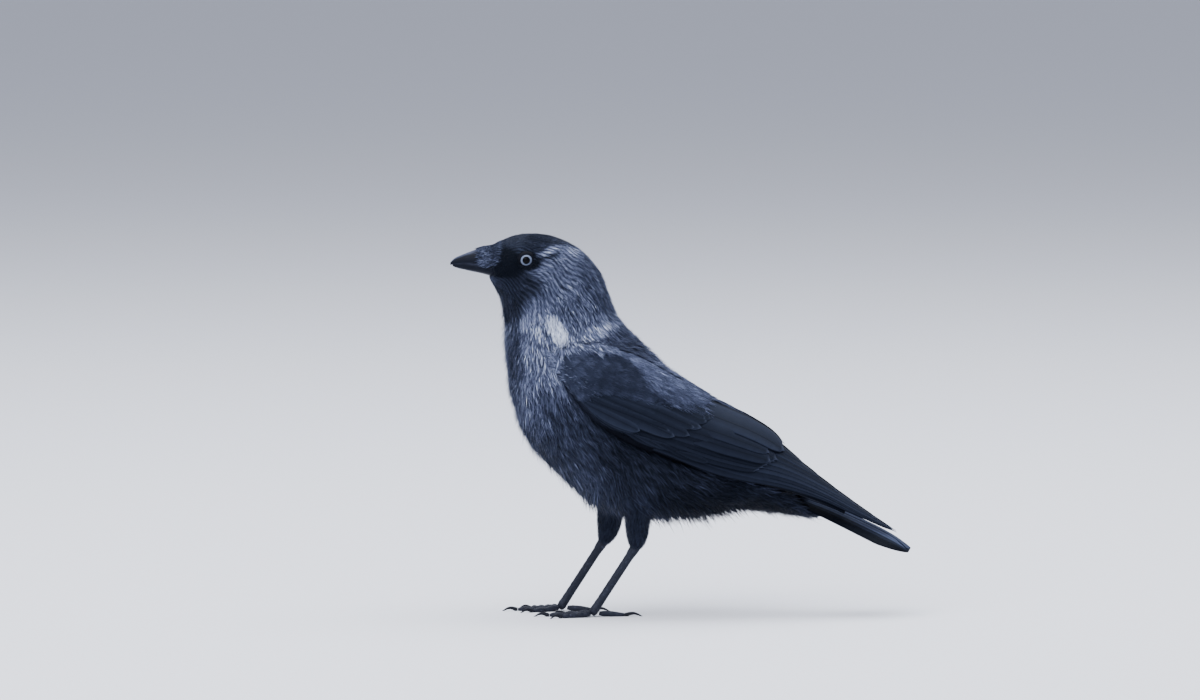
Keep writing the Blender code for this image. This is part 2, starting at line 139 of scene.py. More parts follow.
# The closed tail: (x, z) of its ridge, half its width, and how far its edges droop.
TAIL_RIBS = (
    ((80.0, 79.4), 9.5, 4.5),
    ((98.0, 74.0), 12.5, 6.5),
    ((121.5, 66.2), 15.5, 8.0),
    ((146.0, 55.4), 18.0, 7.4),
    ((160.0, 48.0), 17.0, 5.4),
    ((168.0, 42.4), 10.0, 2.6),
    ((171.5, 39.4), 3.0, 0.3),
)
TAIL_SWEEP, TAIL_CURVE = 0.3, 1.8

# Bill: x, height of the culmen, the cutting edge and the keel, and half the width.
BILL_RIBS = (
    (-109.2, 214.5, 213.2, 212.5, 0.9),
    (-106.4, 217.2, 213.5, 211.4, 1.9),
    (-101.5, 219.4, 213.9, 210.2, 3.1),
    (-95.5, 221.7, 213.4, 208.9, 4.4),
    (-89.5, 223.5, 211.7, 207.6, 5.6),
    (-83.5, 224.2, 209.6, 206.0, 6.7),
    (-78.5, 222.6, 208.4, 204.8, 7.6),
    (-73.5, 217.9, 208.0, 204.4, 8.2),
)
BILL_TIP_X = BILL_RIBS[0][0]
UPPER_OVERHANG = 1.4

EYE_CENTRE = (-62.9, 216.6)
EYE_RADIUS = 4.6
EYE_HOLLOW, EYE_HOLLOW_REACH = 0.9, 5.2
EYE_BARE, EYE_POST = 4.5, 4.8  # no tufts grow within the first, and they bend aside round the second
FACE_SIDE, FACE_FRONT = 6.0, -74.0  # the eyes lie beyond the first, the root of the bill ahead of the second

THIGHS = {
    "left": (((9.0, 77.0), 9.5), ((6.0, 67.0), 9.2), ((4.6, 59.0), 8.2), ((4.4, 51.0), 7.3),
             ((3.8, 45.0), 5.6), ((2.6, 41.2), 3.2)),
    "right": (((-7.0, 77.0), 9.5), ((-10.5, 67.0), 9.2), ((-12.0, 59.3), 8.4), ((-13.0, 51.3), 7.4),
              ((-15.0, 45.0), 5.4), ((-17.0, 41.4), 3.2)),
}
THIGH_END = len(THIGHS["left"]) - 1
THIGH_LEAST, THIGH_NARROW, THIGH_COAT = 0.6, 0.86, 1.2
LEG_SIDE, FOOT_SIDE = 18.0, 19.0
FOOT_SPOT = {"left": -22.0, "right": -41.5}
FOOT_HEIGHT = 3.4
TARSUS_DEPTH, TARSUS_WIDTH, BALL_SWELL = 2.5, 1.9, 2.0
# Toes: direction from straight ahead, place ahead and inwards of the foot's middle, length, phalanges, scales
# and length of the claw.
TOES = {
    "hind": (174.0, -3.3, 0.8, 15.5, 1, 7, 11.0),
    "inner": (26.0, 2.2, 3.1, 17.0, 2, 8, 8.5),
    "middle": (2.0, 2.9, 0.0, 24.0, 3, 12, 9.5),
    "outer": (-22.0, 2.2, -3.1, 18.0, 4, 10, 8.0),
}
TOE_ROOT_RADIUS, TOE_RADIUS, TOE_TIP_RADIUS = 1.35, 1.95, 1.25
TOE_PRESS, TOE_RISE, TOE_PAD = 0.84, 1.1, 0.10
CLAW_RADIUS, CLAW_TIP, CLAW_GAP, CLAW_ARCH = 1.1, 0.14, 1.05, 1.15

SHIFT_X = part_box("bill_upper")[0].x / MM - BILL_TIP_X

# The tones of the plumage run from black to white: 0 is the darkest flank, 1 the collar. Each marking is an
# oval seen from the side: centre (x, z), half its length and height, turn in degrees, tone, soft edge, and
# how far from the middle plane it begins.
BASE_TONE = 0.18
MARKINGS = (
    ((-30.0, 178.0), 62.0, 44.0, -50.0, 0.40, 0.55, 0.0),  # neck
    ((-46.0, 142.0), 32.0, 28.0, -60.0, 0.35, 0.8, 0.0),  # breast
    ((-50.0, 163.0), 22.0, 17.0, -60.0, 0.47, 0.9, 0.0),  # upper breast
    ((-74.0, 164.0), 9.0, 44.0, 4.0, 0.23, 0.6, 0.0),  # front of the neck and breast
    ((-25.0, 107.0), 34.0, 20.0, -48.0, 0.19, 0.8, 0.0),  # side of the breast
    ((27.0, 84.0), 50.0, 27.0, -26.0, 0.105, 0.6, 0.0),  # flank
    ((4.0, 66.0), 29.0, 13.0, -18.0, 0.13, 0.8, 0.0),  # over the thighs
    ((62.0, 66.0), 44.0, 14.0, -6.0, 0.06, 0.7, 0.0),  # vent
    ((26.0, 152.0), 44.0, 15.0, -42.0, 0.36, 0.5, 0.0),  # mantle and back
    ((-5.0, 165.0), 19.0, 7.0, -36.0, 0.26, 0.8, 0.0),  # front of the mantle
    ((-40.0, 200.0), 30.0, 21.0, -38.0, 0.35, 0.55, 0.0),  # ear coverts and nape
    ((-22.0, 203.0), 8.0, 22.0, 25.0, 0.29, 0.8, 0.0),  # back of the neck
    ((-75.0, 191.0), 12.0, 15.0, -20.0, 0.12, 0.8, 0.0),  # throat
    ((-67.0, 203.0), 13.0, 8.0, -25.0, 0.14, 0.9, 0.0),  # below the eye
    ((-62.0, 229.0), 36.0, 8.2, 0.0, 0.17, 0.16, 0.0),  # cap
    ((-77.0, 215.0), 14.0, 9.0, -10.0, 0.06, 0.5, 0.0),  # lores and root of the bill
    ((-61.8, 215.9), 8.0, 5.6, -4.0, 0.04, 0.5, 0.0),  # round the eye
    ((-52.0, 218.6), 9.0, 1.7, 12.0, 0.10, 0.9, 0.0),  # dark line behind the eye
    ((-49.5, 221.7), 6.5, 1.8, 24.0, 0.50, 1.4, 5.0),  # pale line behind the cap
    ((-34.0, 222.0), 8.0, 2.5, -14.0, 0.52, 1.4, 3.0),
    ((-80.5, 210.0), 9.5, 3.6, -8.0, 0.03, 0.5, 0.0),  # corner of the bill
    ((-30.0, 177.0), 20.0, 6.0, 10.0, 0.39, 1.2, 9.0),  # foot of the neck
    ((-44.5, 174.0), 10.0, 4.2, -60.0, 0.96, 0.9, 9.0),  # collar
    ((-42.5, 170.0), 5.5, 3.4, -60.0, 1.25, 0.8, 9.0),
    ((-54.4, 172.0), 4.4, 2.8, -65.0, 0.72, 0.9, 9.0),
    ((-25.0, 170.3), 16.5, 3.8, 22.0, 0.62, 1.0, 9.0),  # end of the collar
    # painted shadow: a dark band on the flank along the lower edge of the folded wing, where the wing shades
    # it
    ((28.0, 95.0), 44.0, 7.0, -25.0, 0.09, 0.9, 0.0),  # under the wing
)


# ---------------------------------------------------------------- shapes


def through(rows, at):
    """Rows at places along a smooth (Catmull-Rom) curve through rows of numbers."""
    rows = np.asarray(rows, float)
    rows = np.vstack([2 * rows[0] - rows[1], rows, 2 * rows[-1] - rows[-2]])
    at = np.atleast_1d(np.asarray(at, float))
    i = np.clip(np.floor(at).astype(int), 0, len(rows) - 4)
    t = (at - i)[:, None]
    a, b, c, d = rows[i], rows[i + 1], rows[i + 2], rows[i + 3]
    return 0.5 * (2 * b + (c - a) * t + (2 * a - 5 * b + 4 * c - d) * t**2 + (3 * b - a - 3 * c + d) * t**3)


def unit(vectors):
    return vectors / np.maximum(np.linalg.norm(vectors, axis=-1, keepdims=True), 1e-9)


def smooth(t):
    t = np.clip(t, 0, 1)
    return t * t * (3 - 2 * t)


def ramp(at, values):
    """A measure that changes with its first argument alone, from values at some places."""
    return lambda first, *_: np.interp(first, at, values)


coat_depth = ramp(COAT_AT, COAT_DEPTH)


def eye_reach(points):
    """How far points are from the middle of the eye, seen from the side."""
    return np.hypot(points[:, 0] - EYE_CENTRE[0], points[:, 2] - EYE_CENTRE[1])


def body_shell(s, a):
    """The outline of the coat: s runs along the ribs, a round them from the back over the left side."""
    flat = [(*back, *front, half, low) for back, front, half, low in RIBS]
    back_x, back_z, front_x, front_z, half, low = through(flat, s).T
    rise, side = np.cos(a), np.sin(a)
    x = (back_x + front_x) / 2 + (back_x - front_x) / 2 * rise
    z = (back_z + front_z) / 2 + (back_z - front_z) / 2 * rise
    return np.stack([x, -half * side * (1 - low * rise), z], -1)


def body_skin(s, a):
    """The bare skin, under the coat by its depth, with a shallow hollow round each eye."""
    point = body_shell(s, a)
    hollow = EYE_HOLLOW * np.exp(-((eye_reach(point) / EYE_HOLLOW_REACH) ** 2))
    depth = coat_depth(s) + hollow * (np.abs(point[:, 1]) > FACE_SIDE)
    return point - normals_of(body_shell, s, a) * depth[:, None]


def wing_shell(sign):
    """The outer surface of a folded wing: u runs from wrist to tip, d from its upper to its lower edge."""
    flat = [(*top, top_y, *low, low_y, bulge, thick) for top, top_y, low, low_y, bulge, thick in WING_RIBS]

    def surface(u, d, lift=0.0, inner=False):
        top_x, top_z, top_y, low_x, low_z, low_y, bulge, thick = through(flat, u).T
        top, low = np.stack([top_x, top_y, top_z], -1), np.stack([low_x, low_y, low_z], -1)
        out = unit(np.cross(np.array(WING_AHEAD), low - top))
        d = np.asarray(d, float)[:, None]
        crown = 4 * d * (1 - d)
        height = bulge[:, None] * crown + np.broadcast_to(lift, d.shape[0])[:, None]
        point = top + (low - top) * d + out * height
        if inner:
            rim = WING_RIM + (1 - WING_RIM) * np.sqrt(np.maximum(crown, 0))
            point = point - out * thick[:, None] * rim
        point[:, 1] = np.maximum(point[:, 1], WING_TO_MIDDLE)
        return point * (1, sign, 1)

    return surface


def tail_shell(t, c, lift=0.0):
    """The upper surface of the tail: t runs from root to tip, c across it from -1 to 1."""
    x, z, half, droop = through([(*ridge, half, droop) for ridge, half, droop in TAIL_RIBS], t).T
    side = np.abs(c)
    return np.stack([x - TAIL_SWEEP * droop * side**2, half * c, z - droop * side**TAIL_CURVE + lift], -1)


def thigh_shell(side, inset=0.0):
    """The outline of a feathered thigh: t runs down it, a round it."""
    sign = dict(SIDES)[side]
    rows = [(x, z, r) for (x, z), r in THIGHS[side]]

    def surface(t, a):
        x, z, r = through(rows, t).T
        nx, nz, _ = (through(rows, np.asarray(t, float) + 0.1) - through(rows, np.asarray(t, float) - 0.1)).T
        length = np.hypot(nx, nz)
        r = np.maximum(r - inset, THIGH_LEAST)
        across, deep = np.cos(a) * r * THIGH_NARROW, np.sin(a) * r
        return np.stack([x - deep * nz / length, sign * LEG_SIDE + across, z + deep * nx / length], -1)

    return surface


def saddle(u, c):
    """The back between the upper edges of the folded wings: u as on the wings, c across it from -1 to 1."""
    top_x, top_z, top_y = through([(*top, top_y) for top, top_y, *_ in WING_RIBS], u).T
    crown = np.interp(u, (2.5, 4.0, 5.0, 8.0), (1.0, -0.8, -1.2, -0.6))
    return np.stack([top_x, c * (top_y + 1.0), top_z + crown * (1 - c * c)], -1)


def bill_rows(x):
    """x, culmen, cutting edge, keel and half width of the bill at places along it."""
    at = np.interp(x, [row[0] for row in BILL_RIBS], range(len(BILL_RIBS)))
    return through(BILL_RIBS, at).T


def steps_of(surface, u, v, step):
    """How a surface runs at some places along both of its directions."""
    return surface(u + step, v) - surface(u - step, v), surface(u, v + step) - surface(u, v - step)


def normals_of(surface, u, v, facing=None):
    """Unit normals of a surface, away from its middle or to the side of facing."""
    out = unit(np.cross(*steps_of(surface, u, v, 0.01)))
    if facing is None:
        facing = surface(u, v) - (surface(u, v) + surface(u, v + math.pi)) / 2
    flip = np.sign(np.sum(out * facing, -1, keepdims=True))
    return out * np.where(flip == 0, 1, flip)


def flow_of(surface, u, v):
    return unit(surface(u + 0.02, v) - surface(u - 0.02, v))


def to_frame(points):
    """Millimetres in the bird's frame to metres in the row's."""
    return (np.asarray(points, float) + (SHIFT_X, 0, 0)) * MM


def tone_of(points):
    """How pale the plumage is at some points, from the markings."""
    tone = np.full(len(points), BASE_TONE)
    for (x, z), long, high, turn, value, soft, side in MARKINGS:
        angle = math.radians(turn)
        dx, dz = points[:, 0] - x, points[:, 2] - z
        across = (dx * math.cos(angle) + dz * math.sin(angle)) / long
        upward = (-dx * math.sin(angle) + dz * math.cos(angle)) / high
        weight = smooth((1 + soft / 2 - np.hypot(across, upward)) / soft)
        if side:
            weight = weight * smooth((np.abs(points[:, 1]) - side) / side + 0.5)
        tone = tone + (value - tone) * weight
    return tone


def store(mesh, key, values):
    """Keeps a number or a vector for each point of a mesh."""
    values = np.asarray(values, np.float32)
    kind, field = ("FLOAT_VECTOR", "vector") if values.ndim > 1 else ("FLOAT", "value")
    mesh.attributes.new(key, kind, "POINT").data.foreach_set(field, values.ravel())


def make_object(name, points, faces, material=None, **values):
    """An object at the origin from points in the bird's frame, with named values on its points."""
    mesh = bpy.data.meshes.new(name)
    mesh.from_pydata(to_frame(points).tolist(), [], faces)
    for key, value in values.items():
        store(mesh, key, value)
    if faces:
        mesh.shade_smooth()
    if material:
        mesh.materials.append(material)
    obj = bpy.data.objects.new(name, mesh)
    bpy.context.scene.collection.objects.link(obj)
    return obj


def grid_faces(rows, columns, closed=False):
    """Quads between rows of points, joined round where closed."""
    faces = []
    for i in range(rows - 1):
        for j in range(columns if closed else columns - 1):
            a, b = i * columns + j, i * columns + (j + 1) % columns
            faces.append((a, b, b + columns, a + columns))
    return faces


def closed_loft(rings):
    """Points and faces of one closed solid through rings of as many points each, with flat ends."""
    rings = np.asarray(rings, float)
    rows, columns = rings.shape[:2]
    faces = grid_faces(rows, columns, closed=True)
    faces.append(tuple(range(columns))[::-1])
    faces.append(tuple(range((rows - 1) * columns, rows * columns)))
    return rings.reshape(-1, 3), faces


def merged(parts):
    """Points and faces of several solids as one."""
    starts = np.cumsum([0] + [len(points) for points, _ in parts]).tolist()
    faces = [tuple(start + k for k in face) for start, (_, own) in zip(starts, parts) for face in own]
    return np.concatenate([points for points, _ in parts]), faces


def tree_of(points, faces):
    return BVHTree.FromPolygons([Vector(p) for p in points], faces)


def outward(obj):
    """Turns the faces of closed solids outwards."""
    shape = bmesh.new()
    shape.from_mesh(obj.data)
    bmesh.ops.recalc_face_normals(shape, faces=shape.faces)
    shape.to_mesh(obj.data)
    shape.free()
    return obj


def baked(obj):
    """Turns an object with modifiers into a plain mesh."""
    graph = bpy.context.evaluated_depsgraph_get()
    solid = obj.evaluated_get(graph)
    mesh = bpy.data.meshes.new_from_object(solid, preserve_all_data_layers=True, depsgraph=graph)
    obj.modifiers.clear()
    obj.data = mesh
    mesh.name = obj.name
    return obj


def dress(obj, slot, *nodes):
    """A finished piece rides on the bird and stands for some solids, which it hides; slot is not used."""
    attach(obj, "root")
    if nodes:
        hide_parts(*nodes)
    return obj


# ---------------------------------------------------------------- node trees


class Tap:
    """One output of a node. Arithmetic on it adds Math nodes."""

    def __init__(self, board, socket):
        self.board, self.socket = board, socket

    def maths(self, operation, *values):
        return self.board.node("ShaderNodeMath", dict(enumerate(values)), operation=operation).out(0)

    def __add__(self, other):
        return self.maths("ADD", self, other)

    def __mul__(self, other):
        return self.maths("MULTIPLY", self, other)

    def __sub__(self, other):
        return self.maths("SUBTRACT", self, other)

    def __rsub__(self, other):
        return self.maths("SUBTRACT", other, self)

    __radd__, __rmul__ = __add__, __mul__

    def sine(self):
        return self.maths("SINE", self)

    def held(self):
        """The value held between 0 and 1."""
        return self.board.node("ShaderNodeClamp", {0: self}).out(0)

    def between(self, low, high):
        """0 below low, 1 above high and smooth between them."""
        sockets = {0: self, 1: low, 2: high}
        return self.board.node("ShaderNodeMapRange", sockets, interpolation_type="SMOOTHSTEP").out(0)


class Made:
    """A node on a board."""

    def __init__(self, board, node):
        self.board, self.node = board, node

    def out(self, which):
        return Tap(self.board, self.node.outputs[which])


class Board:
    """A node tree, of a material or of Geometry Nodes."""

    def __init__(self, tree):
        self.tree = tree

    def node(self, kind, sockets=(), **settings):
        """A node with its settings and the values or links of its sockets."""
        node = self.tree.nodes.new(kind)
        for key, value in settings.items():
            setattr(node, key, value)
        for key, value in dict(sockets).items():
            if isinstance(value, Tap):
                self.tree.links.new(value.socket, node.inputs[key])
            else:
                node.inputs[key].default_value = value
        return Made(self, node)

    def mix(self, factor, a, b):
        """A colour between two others."""
        a, b = (value if isinstance(value, Tap) else (*value, 1.0) for value in (a, b))
        return self.node("ShaderNodeMix", {0: factor, 6: a, 7: b}, data_type="RGBA").out(2)

    def graded(self, factor, stops):
        """A colour from a row of (place, colour)."""
        made = self.node("ShaderNodeValToRGB", {0: factor})
        elements = made.node.color_ramp.elements
        while len(elements) > 1:
            elements.remove(elements[-1])
        for i, (place, shade) in enumerate(stops):
            stop = elements.new(place) if i else elements[0]
            stop.position, stop.color = place, (*shade, 1.0)
        return made.out("Color")

    def vector(self, operation, *values):
        return self.node("ShaderNodeVectorMath", dict(enumerate(values)), operation=operation).out("Vector")

    def scaled(self, vector, factor):
        sockets = {0: vector, "Scale": factor}
        return self.node("ShaderNodeVectorMath", sockets, operation="SCALE").out("Vector")

    def attribute(self, name, which="Fac"):
        return self.node("ShaderNodeAttribute", attribute_name=name).out(which)


def socket_name(key):
    return key.replace("_", " ").title().replace("Ior", "IOR")


class Finish(Board):
    """The tree of a new material. Constants are set on its shader's own sockets."""

    def __init__(self, name, **constants):
        self.material = bpy.data.materials.new(name)
        self.material.use_nodes = True
        super().__init__(self.material.node_tree)
        self.shader = self.tree.nodes["Principled BSDF"]
        for key, value in constants.items():
            self.shader.inputs[socket_name(key)].default_value = value
        self.place = self.node("ShaderNodeTexCoord").out("Object")

    def feed(self, **taps):
        for key, tap in taps.items():
            self.tree.links.new(tap.socket, self.shader.inputs[socket_name(key)])

    def bump(self, height, strength, distance):
        sockets = {"Strength": strength, "Distance": distance, "Height": height}
        self.feed(normal=self.node("ShaderNodeBump", sockets).out("Normal"))

    def noise(self, scale, detail=3.0, place=None):
        sockets = {"Vector": place or self.place, "Scale": scale, "Detail": detail, "Roughness": 0.55}
        return self.node("ShaderNodeTexNoise", sockets).out(0)

    def patch(self):
        """Along, across and luck of the tuft or feather at a place."""
        split = self.node("ShaderNodeSeparateXYZ", {0: self.attribute("patch", "Vector")})
        return split.out(0), split.out(1), split.out(2)


# ---------------------------------------------------------------- settings


def colour(name, description, value):
    return FloatVectorProperty(
        name=name, description=description, default=value, subtype="COLOR", min=0, max=1)


class PlumageSettings(bpy.types.PropertyGroup):
    black: colour("Black", "Vent, flanks and flight feathers", (0.0035, 0.0045, 0.0088))
    slate: colour("Slate", "Breast and back", (0.035, 0.042, 0.074))
    grey: colour("Grey", "Ear coverts and nape", (0.125, 0.145, 0.245))
    silver: colour("Silver", "Edges of the collar", (0.37, 0.43, 0.63))
    white: colour("White", "Collar", (0.77, 0.84, 1.0))
    streaks: FloatProperty(name="Streaks", description="How much single barbs differ in tone", default=0.45)
    mottle: FloatProperty(name="Mottle", description="How much whole tufts differ in tone", default=0.35)
    # root_shade is painted shade at the roots of the tufts, under the tufts that lie over them
    root_shade: FloatProperty(
        name="Root shade", description="How much darker tufts are at the root", default=0.8)
    share: FloatProperty(
        name="Share", description="Share of the feathers that are laid", default=1.0, min=0.05, max=1.0,
        subtype="FACTOR")


class WingSettings(bpy.types.PropertyGroup):
    black: colour("Black", "Darkest wing feathers", (0.0018, 0.0023, 0.0045))
    vane: colour("Vane", "Palest wing feathers", (0.050, 0.062, 0.108))
    edge: colour("Edge", "Worn edge of a wing feather", (0.075, 0.090, 0.145))
    thickness: FloatProperty(
        name="Thickness", description="Thickness of a flight feather", default=0.00028, unit="LENGTH")
    primaries: IntProperty(name="Primaries", description="Primaries that show in each wing", default=9, min=5)
    secondaries: IntProperty(name="Secondaries", description="Secondaries that show", default=6, min=3)


class HeadSettings(bpy.types.PropertyGroup):
    horn: colour("Horn", "Bill", (0.0035, 0.0046, 0.0092))
    # the worn colour is wear on the bill's cutting edges and a painted highlight along its ridge
    worn: colour("Worn horn", "Ridge and edges of the bill", (0.075, 0.085, 0.135))
    iris: colour("Iris", "Pale eye", (0.120, 0.146, 0.216))
    pupil: FloatProperty(name="Pupil", description="Radius of the pupil", default=0.0023, unit="LENGTH")
    lid: FloatProperty(name="Lid", description="Inner radius of the lids", default=0.0034, unit="LENGTH")


class LegSettings(bpy.types.PropertyGroup):
    scale: colour("Scale", "Scales of shank and toes", (0.018, 0.021, 0.034))
    seam: colour("Seam", "Skin between the scales", (0.005, 0.005, 0.008))
    scutes: IntProperty(name="Scutes", description="Broad scales down the shank", default=10, min=5)


class StageSettings(bpy.types.PropertyGroup):
    floor: colour("Floor", "Plain pale floor", (0.70, 0.71, 0.76))
    distance: FloatProperty(name="Distance", description="From camera to bird", default=6.0, unit="LENGTH")
    lens: FloatProperty(name="Lens", description="Focal length", default=296.0, unit="CAMERA")
    elevation: FloatProperty(
        name="Elevation", description="Camera above the level", default=math.radians(4.0), subtype="ANGLE")


def settings(name):
    return getattr(bpy.context.scene, name)


# ---------------------------------------------------------------- finishes

PLUMAGE_STOPS = (0.08, 0.25, 0.45, 0.68, 0.90)
PLUMAGE_TINT, VANE_TINT = (0.6, 0.75, 1.0, 1.0), (0.55, 0.72, 1.0, 1.0)


def plumage_colour(look, tone):
    """The colour of body plumage of a given tone."""
    chosen = settings("jackdaw_plumage")
    colours = (chosen.black, chosen.slate, chosen.grey, chosen.silver, chosen.white)
    return look.graded(tone, list(zip(PLUMAGE_STOPS, colours)))


def plumage_material(name, scale=1.0, contrast=1.0):
    """Small loose feathers: each tuft and each barb has a tone of its own about that of the marking."""
    chosen = settings("jackdaw_plumage")
    look = Finish(name, roughness=0.6, specular_ior_level=0.10, specular_tint=PLUMAGE_TINT)
    along, across, barb = look.patch()
    fine = look.noise(900.0 * scale) - 0.5
    spread = (barb - 0.5) * chosen.streaks + (look.attribute("tint") - 0.5) * chosen.mottle + fine * 0.3
    # root_shade darkens each tuft towards its root: painted shade where the tufts above lie over it
    shade = 1.0 + spread * contrast + (along - 0.62) * chosen.root_shade
    look.feed(base_color=plumage_colour(look, (look.attribute("tone") * shade).held()))
    look.feed(roughness=(0.52 + fine * 0.25 + (barb - 0.5) * 0.12).held())
    look.bump((across * 60.0).sine() * 0.5 + look.noise(2600.0, 2.0), 0.35, 0.00012)
    return look.material


def skin_material():
    """Bare skin and down under the coat, with the markings of the coat, darkened as painted shade for the
    gaps between the tufts.
    """
    look = Finish("skin", roughness=0.75, specular_ior_level=0.05)
    speckle = look.noise(700.0) - 0.5
    # painted shade: the skin is darker than the coat's marking, so that the gaps between tufts read as shaded
    tone = look.attribute("tone") * (0.62 + speckle * 0.5)
    look.feed(base_color=plumage_colour(look, tone.held()), roughness=(0.72 + speckle * 0.3).held())
    look.bump(look.noise(420.0, 4.0) + look.noise(1800.0, 2.0) * 0.5, 0.5, 0.0004)
    return look.material


def vane_material(name, edge_share, gloss, shine=0.04):
    """Firm feathers of wing and tail: a dark vane with slanting barbs, a shaft and a worn tip, with painted
    shadow along both sides where the next feather overlaps and painted shade towards the shaft.
    """
    chosen = settings("jackdaw_wing")
    look = Finish(name, roughness=gloss, specular_ior_level=shine, specular_tint=VANE_TINT)
    along, across, _ = look.patch()
    off = look.node("ShaderNodeMath", {0: across - 0.5}, operation="ABSOLUTE").out(0) * 2.0
    barbs = ((along + off * 0.22) * 420.0).sine()
    wear = look.noise(260.0, 4.0)
    # painted shadow: the sides of each feather go dark, as if shaded by the edge of the next feather over it
    side = off.between(0.84, 0.97) * 0.85
    tip = along.between(0.955, 1.0) * (0.2 + wear * 1.1) * edge_share
    shaft = 1.0 - off.between(0.0, 0.07)
    grain = barbs * 0.10 + (wear - 0.5) * 0.5 + (look.attribute("tint") - 0.5) * 0.35
    # painted light and shade: paler towards the edges, darker towards the shaft where the next feather lies
    # over it
    tone = look.attribute("tone") * (1.0 + grain) * (0.60 + off * 0.95)
    worn = look.mix(tip.held(), look.mix(tone.held(), chosen.black, chosen.vane), chosen.edge)
    look.feed(base_color=look.mix((shaft * 0.6 + side).held(), worn, chosen.black))
    look.feed(roughness=(gloss + (wear - 0.5) * 0.22 + barbs * 0.04 + tip * 0.15).held())
    look.bump(barbs * 0.5 + shaft * 3.0 + look.noise(1500.0, 2.0) * 0.8, 0.32, 0.00010)
    return look.material


def horn_material(name, base, worn, along_scale):
    """Dark horn with fine growth lines, paler along its ridge and edges: worn edges, and a painted highlight
    along the ridge.
    """
    look = Finish(name, roughness=0.36, specular_ior_level=0.06)
    sockets = {"Vector": look.place, "Scale": (along_scale, 1.0, 1.0)}
    lines = look.noise(900.0, 4.0, look.node("ShaderNodeMapping", sockets).out(0))
    spots = look.noise(420.0, 5.0)
    wear = look.attribute("wear") * (0.15 + spots) + (lines - 0.5) * 0.22
    look.feed(base_color=look.mix(wear.held(), base, worn))
    look.feed(roughness=(0.27 + spots * 0.22 + lines * 0.10).held())
    look.bump(lines * 1.2 + spots * 0.6, 0.25, 0.00015)
    return look.material


def iris_material():
    chosen = settings("jackdaw_head")
    look = Finish("pale_iris", roughness=0.08, specular_ior_level=0.04)
    reach, black = look.attribute("reach"), chosen.pupil / chosen.lid
    rays = (look.attribute("turn") * 41.0).sine() * 0.10 + look.noise(2600.0) * 0.45
    inner, outer = reach.between(black - 0.03, black + 0.05), reach.between(0.86, 1.02)
    shade = look.mix((rays + outer * 0.5).held(), chosen.iris, (0.10, 0.12, 0.18))
    shade = look.mix((1.0 - inner).held(), shade, (0.002, 0.002, 0.003))
    shade = look.mix(reach.between(1.0, 1.1), shade, (0.004, 0.004, 0.006))
    look.feed(base_color=shade, roughness=(0.06 + rays * 0.12).held())
    return look.material


def lid_material():
    look = Finish("lid_skin", roughness=0.5, specular_ior_level=0.03)
    grain = look.noise(2400.0)
    look.feed(base_color=look.mix(grain, (0.002, 0.002, 0.003), (0.006, 0.007, 0.012)))
    look.feed(roughness=(0.38 + grain * 0.3).held())
    look.bump(grain, 0.5, 0.00012)
    return look.material


def leg_material():
    chosen = settings("jackdaw_legs")
    look = Finish("leg_scales", roughness=0.42, specular_ior_level=0.1)
    sockets = {"Vector": look.place, "Scale": 900.0}
    cells = look.node("ShaderNodeTexVoronoi", sockets, feature="DISTANCE_TO_EDGE")
    seams, worn = cells.out("Distance").between(0.0, 0.10), look.noise(520.0, 4.0)
    shade = look.mix((seams * 0.7 + 0.3) * (0.35 + worn * 0.9), chosen.seam, chosen.scale)
    look.feed(base_color=look.mix(((worn - 0.60) * 1.2).held(), shade, (0.13, 0.14, 0.20)))
    look.feed(roughness=(0.34 + worn * 0.25).held())
    look.bump(seams + worn * 0.6, 0.4, 0.0002)
    return look.material


def floor_material():
    pale = tuple(settings("jackdaw_stage").floor)
    look = Finish("pale_floor", roughness=0.8, specular_ior_level=0.2)
    grain = look.noise(260.0, 5.0)
    dusty = tuple(v * 0.93 for v in pale)
    look.feed(base_color=look.mix(grain, dusty, pale), roughness=(0.7 + grain * 0.2).held())
    return look.material


# ---------------------------------------------------------------- tufts and feathers

TUFT_SPREAD = 0.5
TUFT_SIZE_LUCK = (0.88, 1.12)
MAP_PATCH = 0.003  # how wide the patch of one tuft is on the map


def tuft_mesh(name, blades, rings, width, ragged, seed):
    """A tuft of thin three-sided blades, one long, which fan out from their root along +X."""
    dice = np.random.default_rng(seed)
    points, faces, rise, thick, patch = [], [], [], [], []
    for i in range(blades):
        v = 0.0 if blades == 1 else 2 * i / (blades - 1) - 1
        v += dice.uniform(-0.5, 0.5) / blades
        long = 1 - ragged * dice.random() - 0.18 * v * v
        bend = dice.uniform(-0.35, 0.35) * TUFT_SPREAD / max(blades, 2)
        start = dice.uniform(0.0, 0.12)
        barb, high = dice.random(), dice.uniform(0.8, 1.15)
        first = len(points)
        stops = [0.0, *[(k + 0.6) / (rings + 0.4) for k in range(rings)], 1.0]
        for k, t in enumerate(stops):
            x = start + (long - start) * t
            y = TUFT_SPREAD * v * (0.28 + 0.72 * t**0.8) + bend * t * t
            half = width * (1 - 0.55 * t) / 2
            across = (0.0,) if k in (0, len(stops) - 1) else (-half, 0.0, half)
            for c in across:
                points.append((x, y + c, 0.0))
                rise.append(high * t**1.15)
                thick.append((0.0 if c else (1.0 if len(across) == 3 else 0.4)) + 2.2 * (1 - v * v))
                patch.append((t, 0.5 + 0.4 * v + c / width * 0.2, barb))
        ring = first + 1
        faces += [(first, ring + 1, ring), (first, ring + 2, ring + 1), (first, ring, ring + 2)]
        for k in range(rings - 1):
            a, b = ring + 3 * k, ring + 3 * k + 3
            faces += [(a, a + 1, b + 1, b), (a + 1, a + 2, b + 2, b + 1), (a + 2, a, b, b + 2)]
        a, tip = ring + 3 * (rings - 1), ring + 3 * rings
        faces += [(a, a + 1, tip), (a + 1, a + 2, tip), (a + 2, a, tip)]
    return unit_mesh(name, points, faces, rise, thick, patch)


